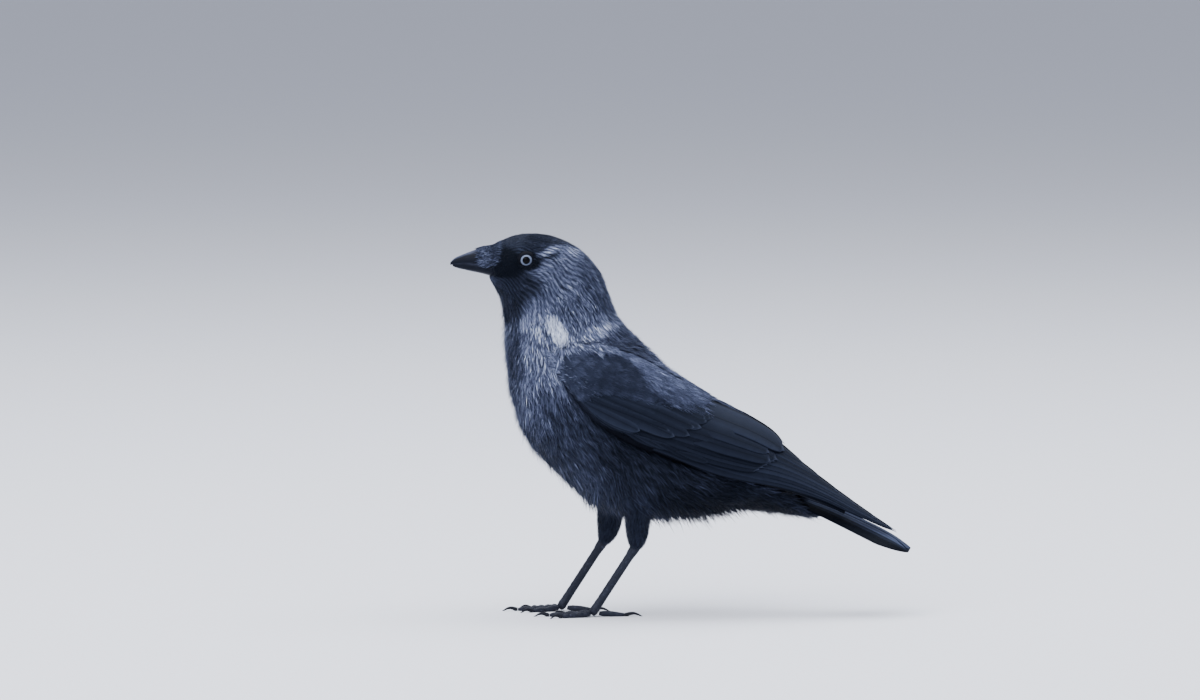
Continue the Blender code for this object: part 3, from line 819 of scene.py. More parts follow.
def vane_mesh(name, stations, across, sharp, ragged, seed):
    """A firm, closed feather one long, with rounded end and notched edges, along +X."""
    dice = np.random.default_rng(seed)
    points, rise, thick, patch = [], [], [], []
    notch = 1 + ragged * dice.uniform(-1, 1, (stations, 2))
    barb = dice.random()
    for upper in (True, False):
        for i in range(stations):
            t = i / (stations - 1)
            round_end = max(1 - max((t - 0.6) / 0.4, 0.0) ** sharp, 0.0) ** 0.5
            half = 0.5 * (0.30 + 0.70 * smooth(t / 0.55)) * round_end
            for j in range(across):
                v = 2 * j / (across - 1) - 1
                edge = notch[i, 0 if v < 0 else 1] if abs(v) == 1 else 1.0
                y = (half + 0.012) * v * edge * (1.0 if upper else 0.96)
                points.append((t - 0.05 * v * v * (1 - t), y, 0.0))
                rise.append(t**1.1 - 0.10 * v * v)
                thick.append((1.0 + 0.8 * (1 - v * v)) if upper else 0.0)
                patch.append((t, 0.5 + 0.5 * v, barb))
    sheet = stations * across
    top = grid_faces(stations, across)
    faces = top + [tuple(sheet + k for k in face[::-1]) for face in top]
    rim = [i * across for i in range(stations)]
    rim += [(stations - 1) * across + j for j in range(1, across)]
    rim += [i * across + across - 1 for i in range(stations - 2, -1, -1)]
    rim += list(range(across - 2, 0, -1))
    faces += [(b, a, a + sheet, b + sheet) for a, b in zip(rim, rim[1:] + rim[:1])]
    return unit_mesh(name, points, faces, rise, thick, patch)


def unit_mesh(name, points, faces, rise, thick, patch):
    mesh = bpy.data.meshes.new(name)
    mesh.from_pydata(points, [], faces)
    for key, values in (("rise", rise), ("thick", thick), ("patch", patch)):
        store(mesh, key, values)
    mesh.shade_smooth()
    return mesh


def coat_tree():
    """Geometry Nodes that lay tufts from roots along the flow of the coat, bent to the form beneath them."""
    name = "plumage over a form"
    if name in bpy.data.node_groups:
        return bpy.data.node_groups[name]
    tree = bpy.data.node_groups.new(name, "GeometryNodeTree")
    inputs = {"Roots": "Geometry", "Tufts": "Collection", "Form": "Object", "Finish": "Material",
              "Base": "Float", "Thickness": "Float", "Patch": "Float", "Seed": "Int"}
    for socket, kind in inputs.items():
        tree.interface.new_socket(name=socket, in_out="INPUT", socket_type=f"NodeSocket{kind}")
    tree.interface.new_socket(name="Coat", in_out="OUTPUT", socket_type="NodeSocketGeometry")
    board = Board(tree)
    given = board.node("NodeGroupInput")

    def value(key, kind="FLOAT_VECTOR"):
        return board.node("GeometryNodeInputNamedAttribute", {"Name": key}, data_type=kind).out("Attribute")

    low, high = TUFT_SIZE_LUCK
    tufts = board.node("GeometryNodeCollectionInfo", {
        "Collection": given.out("Tufts"), "Separate Children": True, "Reset Children": True})
    turn = board.node("FunctionNodeAxesToRotation", {
        "Primary Axis": value("flow"), "Secondary Axis": value("up")}, primary_axis="X", secondary_axis="Z")
    luck = board.node("FunctionNodeRandomValue", {
        "Min": low, "Max": high, "Seed": given.out("Seed")}, data_type="FLOAT").out("Value")
    laid = board.node("GeometryNodeInstanceOnPoints", {
        "Points": given.out("Roots"), "Instance": tufts.out("Instances"), "Pick Instance": True,
        "Instance Index": value("kind", "INT"), "Rotation": turn.out(0),
        "Scale": board.scaled(value("size"), luck)}).out("Instances")
    solid = board.node("GeometryNodeRealizeInstances", {"Geometry": laid}).out("Geometry")
    form = board.node("GeometryNodeObjectInfo", {"Object": given.out("Form")}, transform_space="ORIGINAL")
    here = board.node("GeometryNodeInputPosition").out("Position")

    def nearest(field):
        return board.node("GeometryNodeSampleNearestSurface", {
            "Mesh": form.out("Geometry"), "Value": field, "Sample Position": here},
            data_type="FLOAT_VECTOR").out("Value")

    ground, rise = nearest(here), value("rise", "FLOAT")
    loose = board.scaled(board.vector("SUBTRACT", here, ground), rise * value("free", "FLOAT"))
    thick = value("thick", "FLOAT") * given.out("Thickness")
    height = given.out("Base") + rise * value("lift", "FLOAT") + thick
    hugging = board.vector("ADD", ground, board.scaled(nearest(value("up")), height))
    bent = board.node("GeometryNodeSetPosition", {
        "Geometry": solid, "Position": board.vector("ADD", hugging, loose)}).out("Geometry")
    middle = board.vector("SUBTRACT", value("patch"), (0.5, 0.5, 0.5))
    spot = board.vector("ADD", value("place"), board.scaled(middle, given.out("Patch")))
    mapped = board.node("GeometryNodeStoreNamedAttribute", {
        "Geometry": bent, "Name": "OFBake", "Value": spot},
        data_type="FLOAT2", domain="CORNER").out("Geometry")
    finished = board.node("GeometryNodeSetMaterial", {"Geometry": mapped, "Material": given.out("Finish")})
    board.node("NodeGroupOutput", {"Coat": finished.out("Geometry")})
    return tree


def unburied(roots, form):
    """The roots without those that lie deep inside a form, as under the edge of a wing."""
    mesh = form.data
    tree = BVHTree.FromPolygons([v.co for v in mesh.vertices], [tuple(p.vertices) for p in mesh.polygons])
    depth = np.array([tree.find_nearest(Vector(p))[3] for p in to_frame(roots["point"])])
    return chosen_from(roots, (depth < BURIED * MM) | (roots["free"] > 0))


def chosen_from(roots, kept):
    return {key: values[kept] for key, values in roots.items()}


def lay_coat(name, roots, meshes, material, base, thickness, seed):
    """A coat piece: tufts at roots, as a dict of arrays in millimetres and the bird's frame, on the form."""
    share = settings("jackdaw_plumage").share
    if share < 1:
        roots = chosen_from(roots, np.random.default_rng(seed).random(len(roots["point"])) < share)
    count = len(roots["point"])
    place = np.concatenate([roots["place"], np.zeros((count, 1))], 1)
    obj = make_object(name, roots["point"], [], tone=roots["tone"], tint=roots["tint"], free=roots["free"],
                      lift=roots["lift"] * MM, flow=roots["flow"], up=roots["up"], size=roots["size"] * MM,
                      place=place)
    kind = np.random.default_rng(seed + 1).integers(0, len(meshes), count).astype(np.int32)
    obj.data.attributes.new("kind", "INT", "POINT").data.foreach_set("value", kind)
    tufts = bpy.data.collections.new(f"{name}_tufts")  # outside the scene
    for mesh in meshes:
        tufts.objects.link(bpy.data.objects.new(mesh.name, mesh))
    modifier = obj.modifiers.new("coat", "NODES")
    modifier.node_group = coat_tree()
    wanted = {"Tufts": tufts, "Form": the_form(), "Finish": material, "Base": base * MM,
              "Thickness": thickness * MM, "Patch": MAP_PATCH, "Seed": seed}
    for item in modifier.node_group.interface.items_tree:
        if item.in_out == "INPUT" and item.name in wanted:
            modifier[item.identifier] = wanted[item.name]
    obj.update_tag()
    bpy.context.view_layer.update()
    baked(obj)
    if not obj.data.polygons:
        raise RuntimeError(f"{name} has no feathers")
    for key in ("flow", "up", "size", "place", "lift", "free", "rise", "thick", "kind"):
        if key in obj.data.attributes:
            obj.data.attributes.remove(obj.data.attributes[key])
    for tuft in list(tufts.objects):
        bpy.data.objects.remove(tuft)
    for mesh in meshes:
        bpy.data.meshes.remove(mesh)
    bpy.data.collections.remove(tufts)
    return obj


def lay_tufts(name, slot, roots, material, tuft, base, thickness, seed, tuft_seed=None):
    """A finished coat piece of tufts. tuft is blades, rings, width, raggedness and number of kinds."""
    blades, rings, width, ragged, kinds = tuft
    first = seed * 10 if tuft_seed is None else tuft_seed
    meshes = [tuft_mesh(f"{name}_{i}", blades, rings, width, ragged, first + i) for i in range(kinds)]
    dress(lay_coat(name, roots, meshes, material, base, thickness, seed), slot)


# ---------------------------------------------------------------- forms


def wing_solid(sign, lift=0.7, inset=0.0, start=0.0, end=WING_END, thinner=1.0):
    """A closed smooth solid of a folded wing, as points and faces."""
    surface = wing_shell(sign)
    downs = np.linspace(inset, 1 - inset, 15)
    rings = []
    for at in np.linspace(start, end, 70):
        u = np.full(len(downs), at)
        outer = surface(u, downs, lift)
        inner = outer + (surface(u, downs, lift, inner=True) - outer) * thinner
        rings.append(np.concatenate([outer, inner[::-1]]))
    return closed_loft(rings)


def saddle_solid():
    across = np.linspace(-1, 1, 21)
    rings = []
    for at in np.linspace(0.5, 7.6, 50):
        upper = saddle(np.full(len(across), at), across)
        drop = np.interp(at, (2.6, 5.0, 7.6), (9.0, 10.0, 7.0))
        rings.append(np.concatenate([upper, (upper - (0.0, 0.0, drop))[::-1]]))
    return closed_loft(rings)


def ringed(surface, stations, count):
    around = np.linspace(0, 2 * math.pi, count, endpoint=False)
    return closed_loft([surface(np.full(count, at), around) for at in stations])


def body_solid():
    return ringed(body_skin, np.linspace(0, LAST_RIB, 150), 112)


def thigh_solid(side):
    return ringed(thigh_shell(side, THIGH_COAT), np.linspace(-0.25, THIGH_END, 50), 40)


def bill_half(upper):
    """One half of the closed bill: ribs of its ridge or keel, its cutting edges and the flat inside."""
    stations = np.linspace(0, len(BILL_RIBS) - 1, 80)
    rows = through(BILL_RIBS, stations)
    if not upper:
        rows[:, 0] += UPPER_OVERHANG * np.exp(-stations / 0.8)
    gap, sharp, narrow, inside = (-0.16, 0.80, 1.0, 0.12) if upper else (0.02, 0.72, 0.95, 0.06)
    angles = np.linspace(0, math.pi, 29)
    ribs = []
    for x, culmen, edge, keel, half in rows:
        low, half = edge + gap, half * narrow
        rise = (culmen if upper else keel) - low
        arch = [(x, half * math.cos(a), low + rise * math.sin(a) ** sharp) for a in angles]
        ribs.append(arch + [(x, half * k, edge + inside) for k in (-0.7, -0.25, 0.25, 0.7)])
    return closed_loft(ribs)


def under_wing():
    """A test of whether body plumage at some points lies under a folded wing."""
    trees = [tree_of(*wing_solid(sign, inset=0.07, start=0.35)) for _, sign in SIDES]

    def covered(points, up):
        hidden = np.zeros(len(points), bool)
        for i, (point, normal) in enumerate(zip(points, up)):
            tree = trees[0] if point[1] < 0 else trees[1]
            hidden[i] = tree.ray_cast(Vector(point), Vector(normal), WING_REACH)[0] is not None
        return hidden

    return covered


def voxel_solid(name, parts, voxel, smoothing, material=None):
    """One even mesh round several overlapping closed solids."""
    obj = outward(make_object(name, *merged(parts), material))
    remesh = obj.modifiers.new("remesh", "REMESH")
    remesh.mode = "VOXEL"
    remesh.voxel_size = voxel * MM
    remesh.use_smooth_shade = True
    soften = obj.modifiers.new("soften", "SMOOTH")
    soften.factor = 0.5
    soften.iterations = smoothing
    bpy.context.view_layer.update()
    baked(obj)
    if material and not obj.data.materials:
        obj.data.materials.append(material)
    return obj


def the_form():
    """The smooth shape that the plumage hugs: body under its coat, wings, thighs and bill. Made once."""
    made = bpy.data.objects.get("form")
    if made:
        return made
    parts = [body_solid(), saddle_solid(), bill_half(True), bill_half(False)]
    for side, sign in SIDES:
        parts += [wing_solid(sign, thinner=2.4), thigh_solid(side)]
    made = voxel_solid("form", parts, FORM_VOXEL, 6)
    normals = np.zeros(len(made.data.vertices) * 3, np.float32)
    made.data.vertex_normals.foreach_get("vector", normals)
    store(made.data, "up", normals.reshape(-1, 3))
    bpy.context.scene.collection.objects.unlink(made)
    return made


# ---------------------------------------------------------------- roots

GOLDEN = (0.7548776662466927, 0.5698402909980532)  # steps of the evenest two-way sequence
STRAY_SHARE, STRAY_LONG, STRAY_HIGH, STRAY_PALE = 0.10, 1.2, 1.35, 1.15
ROWS, COLUMNS = 160, 96


def lattice(values, count):
    return np.linspace(*values, count + 1)


def spread_over(surface, u_range, v_range, count, weight=None):
    """Places spread evenly over a surface by its area, thinned by a weight, as two arrays."""
    u, v = lattice(u_range, ROWS), lattice(v_range, COLUMNS)
    grid_u, grid_v = np.meshgrid((u[1:] + u[:-1]) / 2, (v[1:] + v[:-1]) / 2, indexing="ij")
    grid_u, grid_v = grid_u.ravel(), grid_v.ravel()
    area = np.linalg.norm(np.cross(*steps_of(surface, grid_u, grid_v, 0.002)), axis=1) + 1e-12
    if weight is not None:
        area = area * weight(grid_u, grid_v)
    area = area.reshape(ROWS, COLUMNS)
    total = np.concatenate([[0], np.cumsum(area.sum(1))])
    total /= total[-1]
    order = np.arange(1, count + 1)
    first, second = (order * GOLDEN[0]) % 1, (order * GOLDEN[1]) % 1
    row = np.clip(np.searchsorted(total, first, side="right") - 1, 0, ROWS - 1)
    v_at = np.zeros(count)
    for i in np.unique(row):
        line = np.concatenate([[0], np.cumsum(area[i])])
        chosen = row == i
        v_at[chosen] = np.interp(second[chosen], line / line[-1], v)
    return np.interp(first, total, u), v_at


def distances(surface, u_range, v_range, at_u, at_v):
    """How far places lie along a surface from its start, and across it from its first edge, in mm."""
    u, v = lattice(u_range, ROWS), lattice(v_range, COLUMNS)
    grid_u, grid_v = np.meshgrid(u, v, indexing="ij")
    points = surface(grid_u.ravel(), grid_v.ravel()).reshape(ROWS + 1, COLUMNS + 1, 3)
    tables = []
    for axis in (0, 1):
        steps = np.cumsum(np.linalg.norm(np.diff(points, axis=axis), axis=2), axis)
        tables.append(np.concatenate([np.zeros_like(np.take(steps, [0], axis)), steps], axis))
    i = np.clip(np.interp(at_u, u, np.arange(ROWS + 1.0)), 0, ROWS - 0.001)
    j = np.clip(np.interp(at_v, v, np.arange(COLUMNS + 1.0)), 0, COLUMNS - 0.001)
    a, b = i.astype(int), j.astype(int)
    p, q = i - a, j - b
    return tuple(
        (t[a, b] * (1 - p) + t[a + 1, b] * p) * (1 - q) + (t[a, b + 1] * (1 - p) + t[a + 1, b + 1] * p) * q
        for t in tables)


def plume(run, across, feather):
    """The feather that a place belongs to: its luck from 0 to 1, and the place along and across it."""
    long, wide = feather
    column = np.floor(across / wide)
    q = (across / wide - column) * 2 - 1
    p = run / long + 0.5 * (column % 2) + 0.13 * np.sin(column * 2.4) + 0.32 * q * q
    row = np.floor(p)
    return hashed(row, column), p - row, q


def hashed(row, column, seed=0.0):
    """A number from 0 to 1 that looks like luck but is the same for the same place."""
    return np.abs(np.sin(row * 12.9898 + column * 78.233 + seed) * 43758.5453) % 1


def feather_shade(cleft, along, off):
    """Whole feathers are darker at the root and sides, by cleft, so that they stand apart: painted shade in
    the clefts between them and under the tips that overlap them.
    """
    return 1.0 + cleft * (1.3 * along**1.4 * (1 - 0.6 * off * off) - 0.55)


def strands(run, round_, wide, long, seed):
    """Streaks along the lie of the coat, from -1 to 1: lines wide mm apart that wander within long mm."""
    def drift(across, along):
        x, y = round_ / across, run / along
        i, j = np.floor(x), np.floor(y)
        p, q = smooth(x - i), smooth(y - j)
        near = hashed(i, j, seed) * (1 - p) + hashed(i + 1, j, seed) * p
        far = hashed(i, j + 1, seed) * (1 - p) + hashed(i + 1, j + 1, seed) * p
        return 2 * (near * (1 - q) + far * q) - 1

    lines = np.sin(2 * math.pi * (round_ / wide + 0.55 * drift(wide * 2.7, long)))
    return 0.68 * lines + 0.45 * drift(wide * 0.4, long)


def turned(vectors, axes, angles):
    """Unit vectors turned about unit axes they are square to."""
    angles = np.asarray(angles)[:, None]
    return vectors * np.cos(angles) + np.cross(axes, vectors) * np.sin(angles)


def make_roots(point, up, flow, length, breadth, lift, place, jitter, dice, tone=None, shade=1.0, free=0.0,
               steep=0.24):
    """The table that lay_coat takes, with the flow jittered in the plane of the surface.

    free is how much of its own straight way a tuft keeps, from 0 where it hugs the form to 1, and steep is
    how steeply that way rises."""
    count = len(point)
    ones = np.ones(count)
    flow = unit(flow - up * np.sum(flow * up, 1, keepdims=True))
    flow = turned(flow, up, dice.normal(0, 1, count) * jitter)
    length, breadth, lift, free = length * ones, breadth * ones, lift * ones, free * ones
    tone = (tone_of(point + flow * (length * 0.55)[:, None]) if tone is None else tone * ones) * shade
    flow = unit(flow + up * (steep * free)[:, None])
    return {
        "point": point, "up": up, "flow": flow, "size": np.stack([length, breadth, breadth], 1), "lift": lift,
        "place": place, "free": free, "tint": dice.random(count), "tone": tone,
    }


def joined(tables):
    return {key: np.concatenate([table[key] for table in tables]) for key in tables[0]}


def on_half_map(sign, along, across):
    """Places on the map, the left side's in one half and the right side's in the other."""
    return np.stack([along * 0.48 + (0.5 if sign > 0 else 0.0), across], 1)


def round_the_eye(point, flow):
    """Turns the flow of the coat aside round the eye, as water goes round a post."""
    away = np.stack([point[:, 0] - EYE_CENTRE[0], np.zeros(len(point)), point[:, 2] - EYE_CENTRE[1]], 1)
    far = np.maximum(np.linalg.norm(away, axis=1, keepdims=True), 0.1)
    away = away / far
    share = np.minimum((EYE_POST / far) ** 2, 1.0) * (np.abs(point[:, 1:2]) > FACE_SIDE)
    along = np.sum(flow * away, 1, keepdims=True)
    return unit(flow + share * (flow - 2 * along * away) * (1, 0, 1))


def on_the_bill(points):
    """Whether places of the face lie in the root of the bill, which has no plumage of its own."""
    _, culmen, edge, keel, half = bill_rows(points[:, 0])
    end = np.where(points[:, 2] > edge, culmen, keel)
    share = np.clip((points[:, 2] - edge) / (end - edge), 0, 1)
    return (np.abs(points[:, 1]) < half * np.sqrt(1 - share**2) + 0.5) & (points[:, 0] < FACE_FRONT)


def body_roots(span, around, count, length, breadth, lift, seed, jitter, feather, cleft, streaks, girth,
               weight=None, drop=None, loose=None, loose_share=0.25, glow=0.0):
    """Roots over a stretch of the body. Functions take (s, a, point) and give arrays.

    feather is the length and width of a whole feather, cleft how much painted shade darkens their roots and
    sides so that they stand apart, and streaks lists (width, length, strength). drop turns the flow
    downwards, loose frees some tufts from the form, and glow is how much paler these are."""
    covered = under_wing()

    def allowed(s, a):
        point, up = body_skin(s, a), normals_of(body_shell, s, a)
        value = 1.0 - covered(point, up)
        value = value * ((eye_reach(point) > EYE_BARE) | (np.abs(point[:, 1]) < FACE_SIDE))
        value = value * ~on_the_bill(point)
        return value * (weight(s, a, point) if weight else 1.0)

    s, a = spread_over(body_shell, span, around, count, allowed)
    point, up = body_skin(s, a), normals_of(body_shell, s, a)
    flow = round_the_eye(point, flow_of(body_shell, s, a))
    if drop is not None:
        flow = unit(flow + np.array([0.0, 0.0, -1.0]) * drop(s, a, point)[:, None])
    dice = np.random.default_rng(seed)
    run, across = distances(body_shell, (0.0, LAST_RIB), (-math.pi, 2 * math.pi), s, a)
    luck, along, off = plume(run, across, feather)
    swing = run / WAVE_LENGTH + a * girth / 9.0
    flow = turned(flow, up, WAVE_HEIGHT / WAVE_LENGTH * np.cos(swing))
    line = a * girth + WAVE_HEIGHT * np.sin(swing)
    long = length(s, a, point) * np.clip((eye_reach(point) - 3.6) / 6.0, 0.30, 1.0)
    stray = dice.random(len(s)) < STRAY_SHARE
    long = long * np.where(stray, STRAY_LONG, 1.0)
    high = lift(s, a, point) * (0.72 + 0.42 * along) * dice.uniform(0.8, 1.15, len(s))
    high = high * np.where(stray, STRAY_HIGH, 1.0)
    # feather_shade paints shade in the clefts between whole feathers
    shade = feather_shade(cleft, along, off) + 0.16 * (luck - 0.5)
    for k, (wide, far, strength) in enumerate(streaks):
        shade = shade * (1.0 + strength * strands(run + long * 0.5, line, wide, far, k * 7.7))
    shade = shade * np.where(stray, STRAY_PALE, 1.0)
    free = np.zeros(len(s))
    if loose is not None:
        free = loose(s, a, point) * (dice.random(len(s)) < loose_share)
        long, shade = long * (1 + 0.25 * free), shade * (1 + glow * free * dice.random(len(s)))
    jitter = jitter + PARTING_JITTER * np.exp(-((point[:, 1] / 2.2) ** 2))
    place = np.stack([(s - span[0]) / (span[1] - span[0]), a / (2 * math.pi) % 1], 1)
    wide = breadth(s, a, point)
    return make_roots(point, up, flow, long, wide, high, place, jitter, dice, None, shade, free)


def wing_roots(u_range, d_range, count, length, breadth, lift, tone, drop, jitter, feather, seed, weight,
               cleft):
    """Roots of soft feathers over part of both folded wings. Functions take (u, d)."""
    tables = []
    for _, sign in SIDES:
        surface = wing_shell(sign)
        u, d = spread_over(surface, u_range, d_range, count, weight)
        up = normals_of(surface, u, np.clip(d, 0.02, 0.98), np.tile((0.0, sign, 0.3), (count, 1)))
        dice = np.random.default_rng(seed + int(sign))
        down = np.array([0.0, 0.0, -1.0]) * (drop * (0.4 + d))[:, None]
        flow = flow_of(surface, u, np.clip(d, 0, 1)) + down
        run, across = distances(surface, u_range, d_range, u, d)
        luck, along, off = plume(run, across, feather)
        long = length(u, d) * dice.uniform(0.85, 1.1, count)
        high = lift(u, d) * (0.75 + 0.4 * along) * dice.uniform(0.85, 1.15, count)
        # feather_shade paints shade at the roots and sides of whole feathers
        shade = feather_shade(cleft, along, off) + 0.20 * (luck - 0.5)
        tables.append(make_roots(surface(u, d, 0.8), up, flow, long, breadth(u, d), high,
                                 on_half_map(sign, u / WING_END, d), jitter, dice, tone(u, d), shade))
    return joined(tables)


# ---------------------------------------------------------------- pieces


class JackdawOperator(bpy.types.Operator):
    """Base of the pieces' operators"""

    bl_options = {"REGISTER", "UNDO"}

    def execute(self, context):
        self.make(context)
        return {"FINISHED"}


class OBJECT_OT_jackdaw_skin(JackdawOperator):
    """One skin over head, body and thighs, under the coat"""

    bl_idname = "object.jackdaw_skin"
    bl_label = "Skin"

    def make(self, context):
        parts = [body_solid()] + [thigh_solid(side) for side, _ in SIDES]
        skin = voxel_solid("skin", parts, 1.25, 3, skin_material())
        flat = np.zeros(len(skin.data.vertices) * 3, np.float32)
        skin.data.vertices.foreach_get("co", flat)
        store(skin.data, "tone", tone_of(flat.reshape(-1, 3) / MM - (SHIFT_X, 0, 0)))
        dress(skin, "breast_plumage", "head", "neck", "breast", "belly", "vent", "thigh_left", "thigh_right")


def throat(a):
    """1 down the middle of the throat and breast, 0 from the sides up."""
    return np.clip(-np.cos(a), 0, 1) ** 2


class OBJECT_OT_jackdaw_head(JackdawOperator):
    """Short plumage of cap, face and throat, and the longer streaks of ear coverts and nape"""

    bl_idname = "object.jackdaw_head"
    bl_label = "Head plumage"

    def make(self, context):
        def length(s, a, point):
            return np.interp(s, (0, 1, 2.5, 4, 6), (2.4, 3.2, 4.2, 6.2, 8.5)) * (1 + 0.5 * throat(a))

        def lift(s, a, point):
            return coat_depth(s) * (1 + 0.5 * throat(a) * (s > 0.8))

        def hackles(s, a, point):
            return throat(a) * smooth((s - 0.6) / 0.8) * smooth((7.0 - s) / 2.0)

        breadth, denser = ramp((0, 2, 4, 6), (0.44, 0.46, 0.44, 0.50)), ramp((0, 1.5, 3.4), (1.2, 1.2, 1.0))
        for name, slot, span, count, rings, seed, cleft, streaks in (
                ("coat_head", "cap_plumage", (0.02, 3.5), 24000, 1, 11, 0.12, ((1.5, 13.0, 0.45),)),
                ("coat_nape", "nape_plumage", (3.2, 6.4), 15500, 2, 12, 0.10, ((1.6, 13.0, 0.52),))):
            roots = body_roots(span, WHOLE, count, length, breadth, lift, seed, 0.06, (7.0, 5.0), cleft,
                               streaks, 17.0, weight=denser, loose=hackles, glow=1.8)
            look = plumage_material(f"{name}_plumage", 1.2, 0.9)
            lay_tufts(name, slot, roots, look, (1, rings, 1.0, 0.35, 8), 0.02, 0.04, seed)


class OBJECT_OT_jackdaw_bristles(JackdawOperator):
    """Stiff bristles that cover the nostrils and the root of the bill"""

    bl_idname = "object.jackdaw_bristles"
    bl_label = "Nasal bristles"

    def make(self, context):
        dice = np.random.default_rng(21)
        count = 3000
        angle = dice.uniform(0.14, math.pi / 2, count)
        angle = np.where(np.arange(count) % 2, angle, math.pi - angle)
        x = FACE_FRONT - 16.0 * dice.random(count) ** 1.4
        _, culmen, edge, _, half = bill_rows(x)
        culmen = culmen + np.interp(x, (-84, -74), (0.2, 9.0))
        edge = edge + np.interp(x, (-84, -74), (0.0, 4.0))
        point = np.stack([x, half * np.cos(angle), edge + (culmen - edge) * np.sin(angle) ** 0.8], 1)
        ones = np.ones(count)
        up = unit(np.stack([-0.2 * ones, np.cos(angle), np.sin(angle) * 0.8], 1))
        flow = unit(np.stack([-ones, -0.10 * np.cos(angle), dice.uniform(-0.30, 0.0, count)], 1))
        length = np.interp(x, (-90.0, -74), (5.5, 12.0)) * dice.uniform(0.6, 1.1, count)
        tone = np.interp(x, (-90, -83, -76), (0.19, 0.29, 0.20)) * dice.uniform(0.25, 1.75, count)
        place = np.stack([(x + 90) / 16, angle / math.pi], 1)
        roots = make_roots(point, up, flow, length, 0.42, 0.80, place, 0.08, dice, tone)
        look = plumage_material("bristles", 1.2)
        lay_tufts("nasal_bristles", "cap_plumage", roots, look, (1, 2, 1.0, 0.4, 5), 0.10, 0.07, 6, 40)


class OBJECT_OT_jackdaw_body(JackdawOperator):
    """Loose plumage of neck, breast, belly and vent"""

    bl_idname = "object.jackdaw_body"
    bl_label = "Body plumage"

    # name, stretch, way round, tufts, lengths and breadths at its ends, blades, feathers and seed
    STRETCHES = (
        ("neck", "nape", (6.1, 9.9), WHOLE, 15500, (8.5, 11.5), (0.50, 0.66), 1, (11.0, 5.0), 31),
        ("breast", "breast", (9.3, 13.9), BELOW, 15500, (12.0, 16.0), (0.66, 0.90), 1, (14.0, 6.5), 32),
        ("belly", "belly", (13.5, 16.9), BELOW, 12500, (16.0, 20.0), (0.85, 1.10), 1, (17.0, 8.0), 33),
        ("vent", "vent", (16.5, 19.4), WHOLE, 2100, (17.0, 12.5), (1.9, 1.9), 3, (14.0, 10.0), 34),
    )

    def make(self, context):
        look = plumage_material("loose_plumage", 1.0, 1.2)

        def lift(s, *_):
            return coat_depth(s) * 1.15

        def over_the_thighs(s, a, point):
            near = np.clip(1 - np.abs(point[:, 0] + 2.0) / 34.0, 0, 1)
            near = near * np.clip((104.0 - point[:, 2]) / 24.0, 0, 1)
            return 0.9 * near * (np.abs(point[:, 1]) > FACE_SIDE)

        def edges(s, a, point):
            return 0.8 * throat(a)

        for name, slot, span, around, count, long, wide, blades, feather, seed in self.STRETCHES:
            # streaks are as fine as hairs on the neck and coarsen towards the belly
            streaks = ((wide[0] * 3.6, long[0] * 1.4, 0.45), (wide[0] * 11.0, long[1], 0.12))
            roots = body_roots(span, around, count, ramp(span, long), ramp(span, wide), lift, seed, 0.09,
                               feather, 0.28, streaks, 27.0, drop=over_the_thighs, loose=edges, glow=0.8)
            lay_tufts(f"coat_{name}", f"{slot}_plumage", unburied(roots, the_form()), look,
                      (blades, 2, 1.0 / blades, 0.45, 8), 0.05, 0.07, seed)
        self.hem(look)
        self.fringe(look)

    @staticmethod
    def hem(look):
        """Long wisps of the flank that hang over the tops of the thighs and below the belly."""
        def low_down(s, a, point):
            return np.exp(-((np.abs(np.cos(a) + 0.62) / 0.26) ** 2)) + 1e-6

        length = ramp((13.6, 15.5, 18.2), (13.0, 19.0, 13.0))
        breadth, down, free = (ramp((0, LAST_RIB), (same, same)) for same in (0.85, 0.85, 1.0))
        roots = body_roots((13.6, 18.2), WHOLE, 4000, length, breadth, coat_depth, 35, 0.16, (15.0, 8.0), 0.3,
                           ((3.0, 24.0, 0.3),), 27.0, low_down, down, free, 0.7, 0.5)
        lay_tufts("hem_wisps", "belly_plumage", roots, look, (1, 2, 1.0, 0.5, 8), 0.3, 0.07, 35)

    @staticmethod
    def fringe(look):
        """Pale wisps of the breast that reach over the front edge of each folded wing."""
        body, count, back_to, tables = tree_of(*body_solid()), 1000, 2.7, []
        for _, sign in SIDES:
            dice = np.random.default_rng(37 + int(sign))
            u = back_to * dice.random(count) ** 0.9
            d = np.interp(u, (0, 0.4), (0.45, 0.76)) + dice.uniform(-0.11, 0.11, count)
            tip = wing_shell(sign)(u, d, 2.5)
            length = dice.uniform(11.0, 17.0, count) * np.interp(u, (0, 1.5, back_to), (0.75, 1.0, 0.9))
            fall = dice.normal(0, 0.16, count) - 0.34
            point = tip - unit(np.stack([np.full(count, 0.94), np.zeros(count), fall], 1)) * length[:, None]
            for root in point:
                struck = body.ray_cast(Vector((root[0], sign * 80.0, root[2])), Vector((0, -sign, 0)))[0]
                if struck is not None:
                    root[1] = sign * min(abs(root[1]), abs(struck.y) + 0.6)
            way = unit(tip - point)
            up = unit(np.tile((-0.10, float(sign), 0.0), (count, 1)))
            up = unit(up - way * np.sum(way * up, 1, keepdims=True))
            tone = np.minimum(tone_of(point), 0.38) * dice.uniform(0.5, 1.3, count)
            tables.append(make_roots(point, up, way, np.linalg.norm(tip - point, axis=1), 0.55, 0.3,
                                     on_half_map(sign, u / back_to, length / 24.0), 0.04, dice, tone,
                                     free=1.0, steep=0.0))
        lay_tufts("wing_fringe", "breast_plumage", joined(tables), look, (1, 3, 1.0, 0.4, 8), 0.35, 0.07, 37)


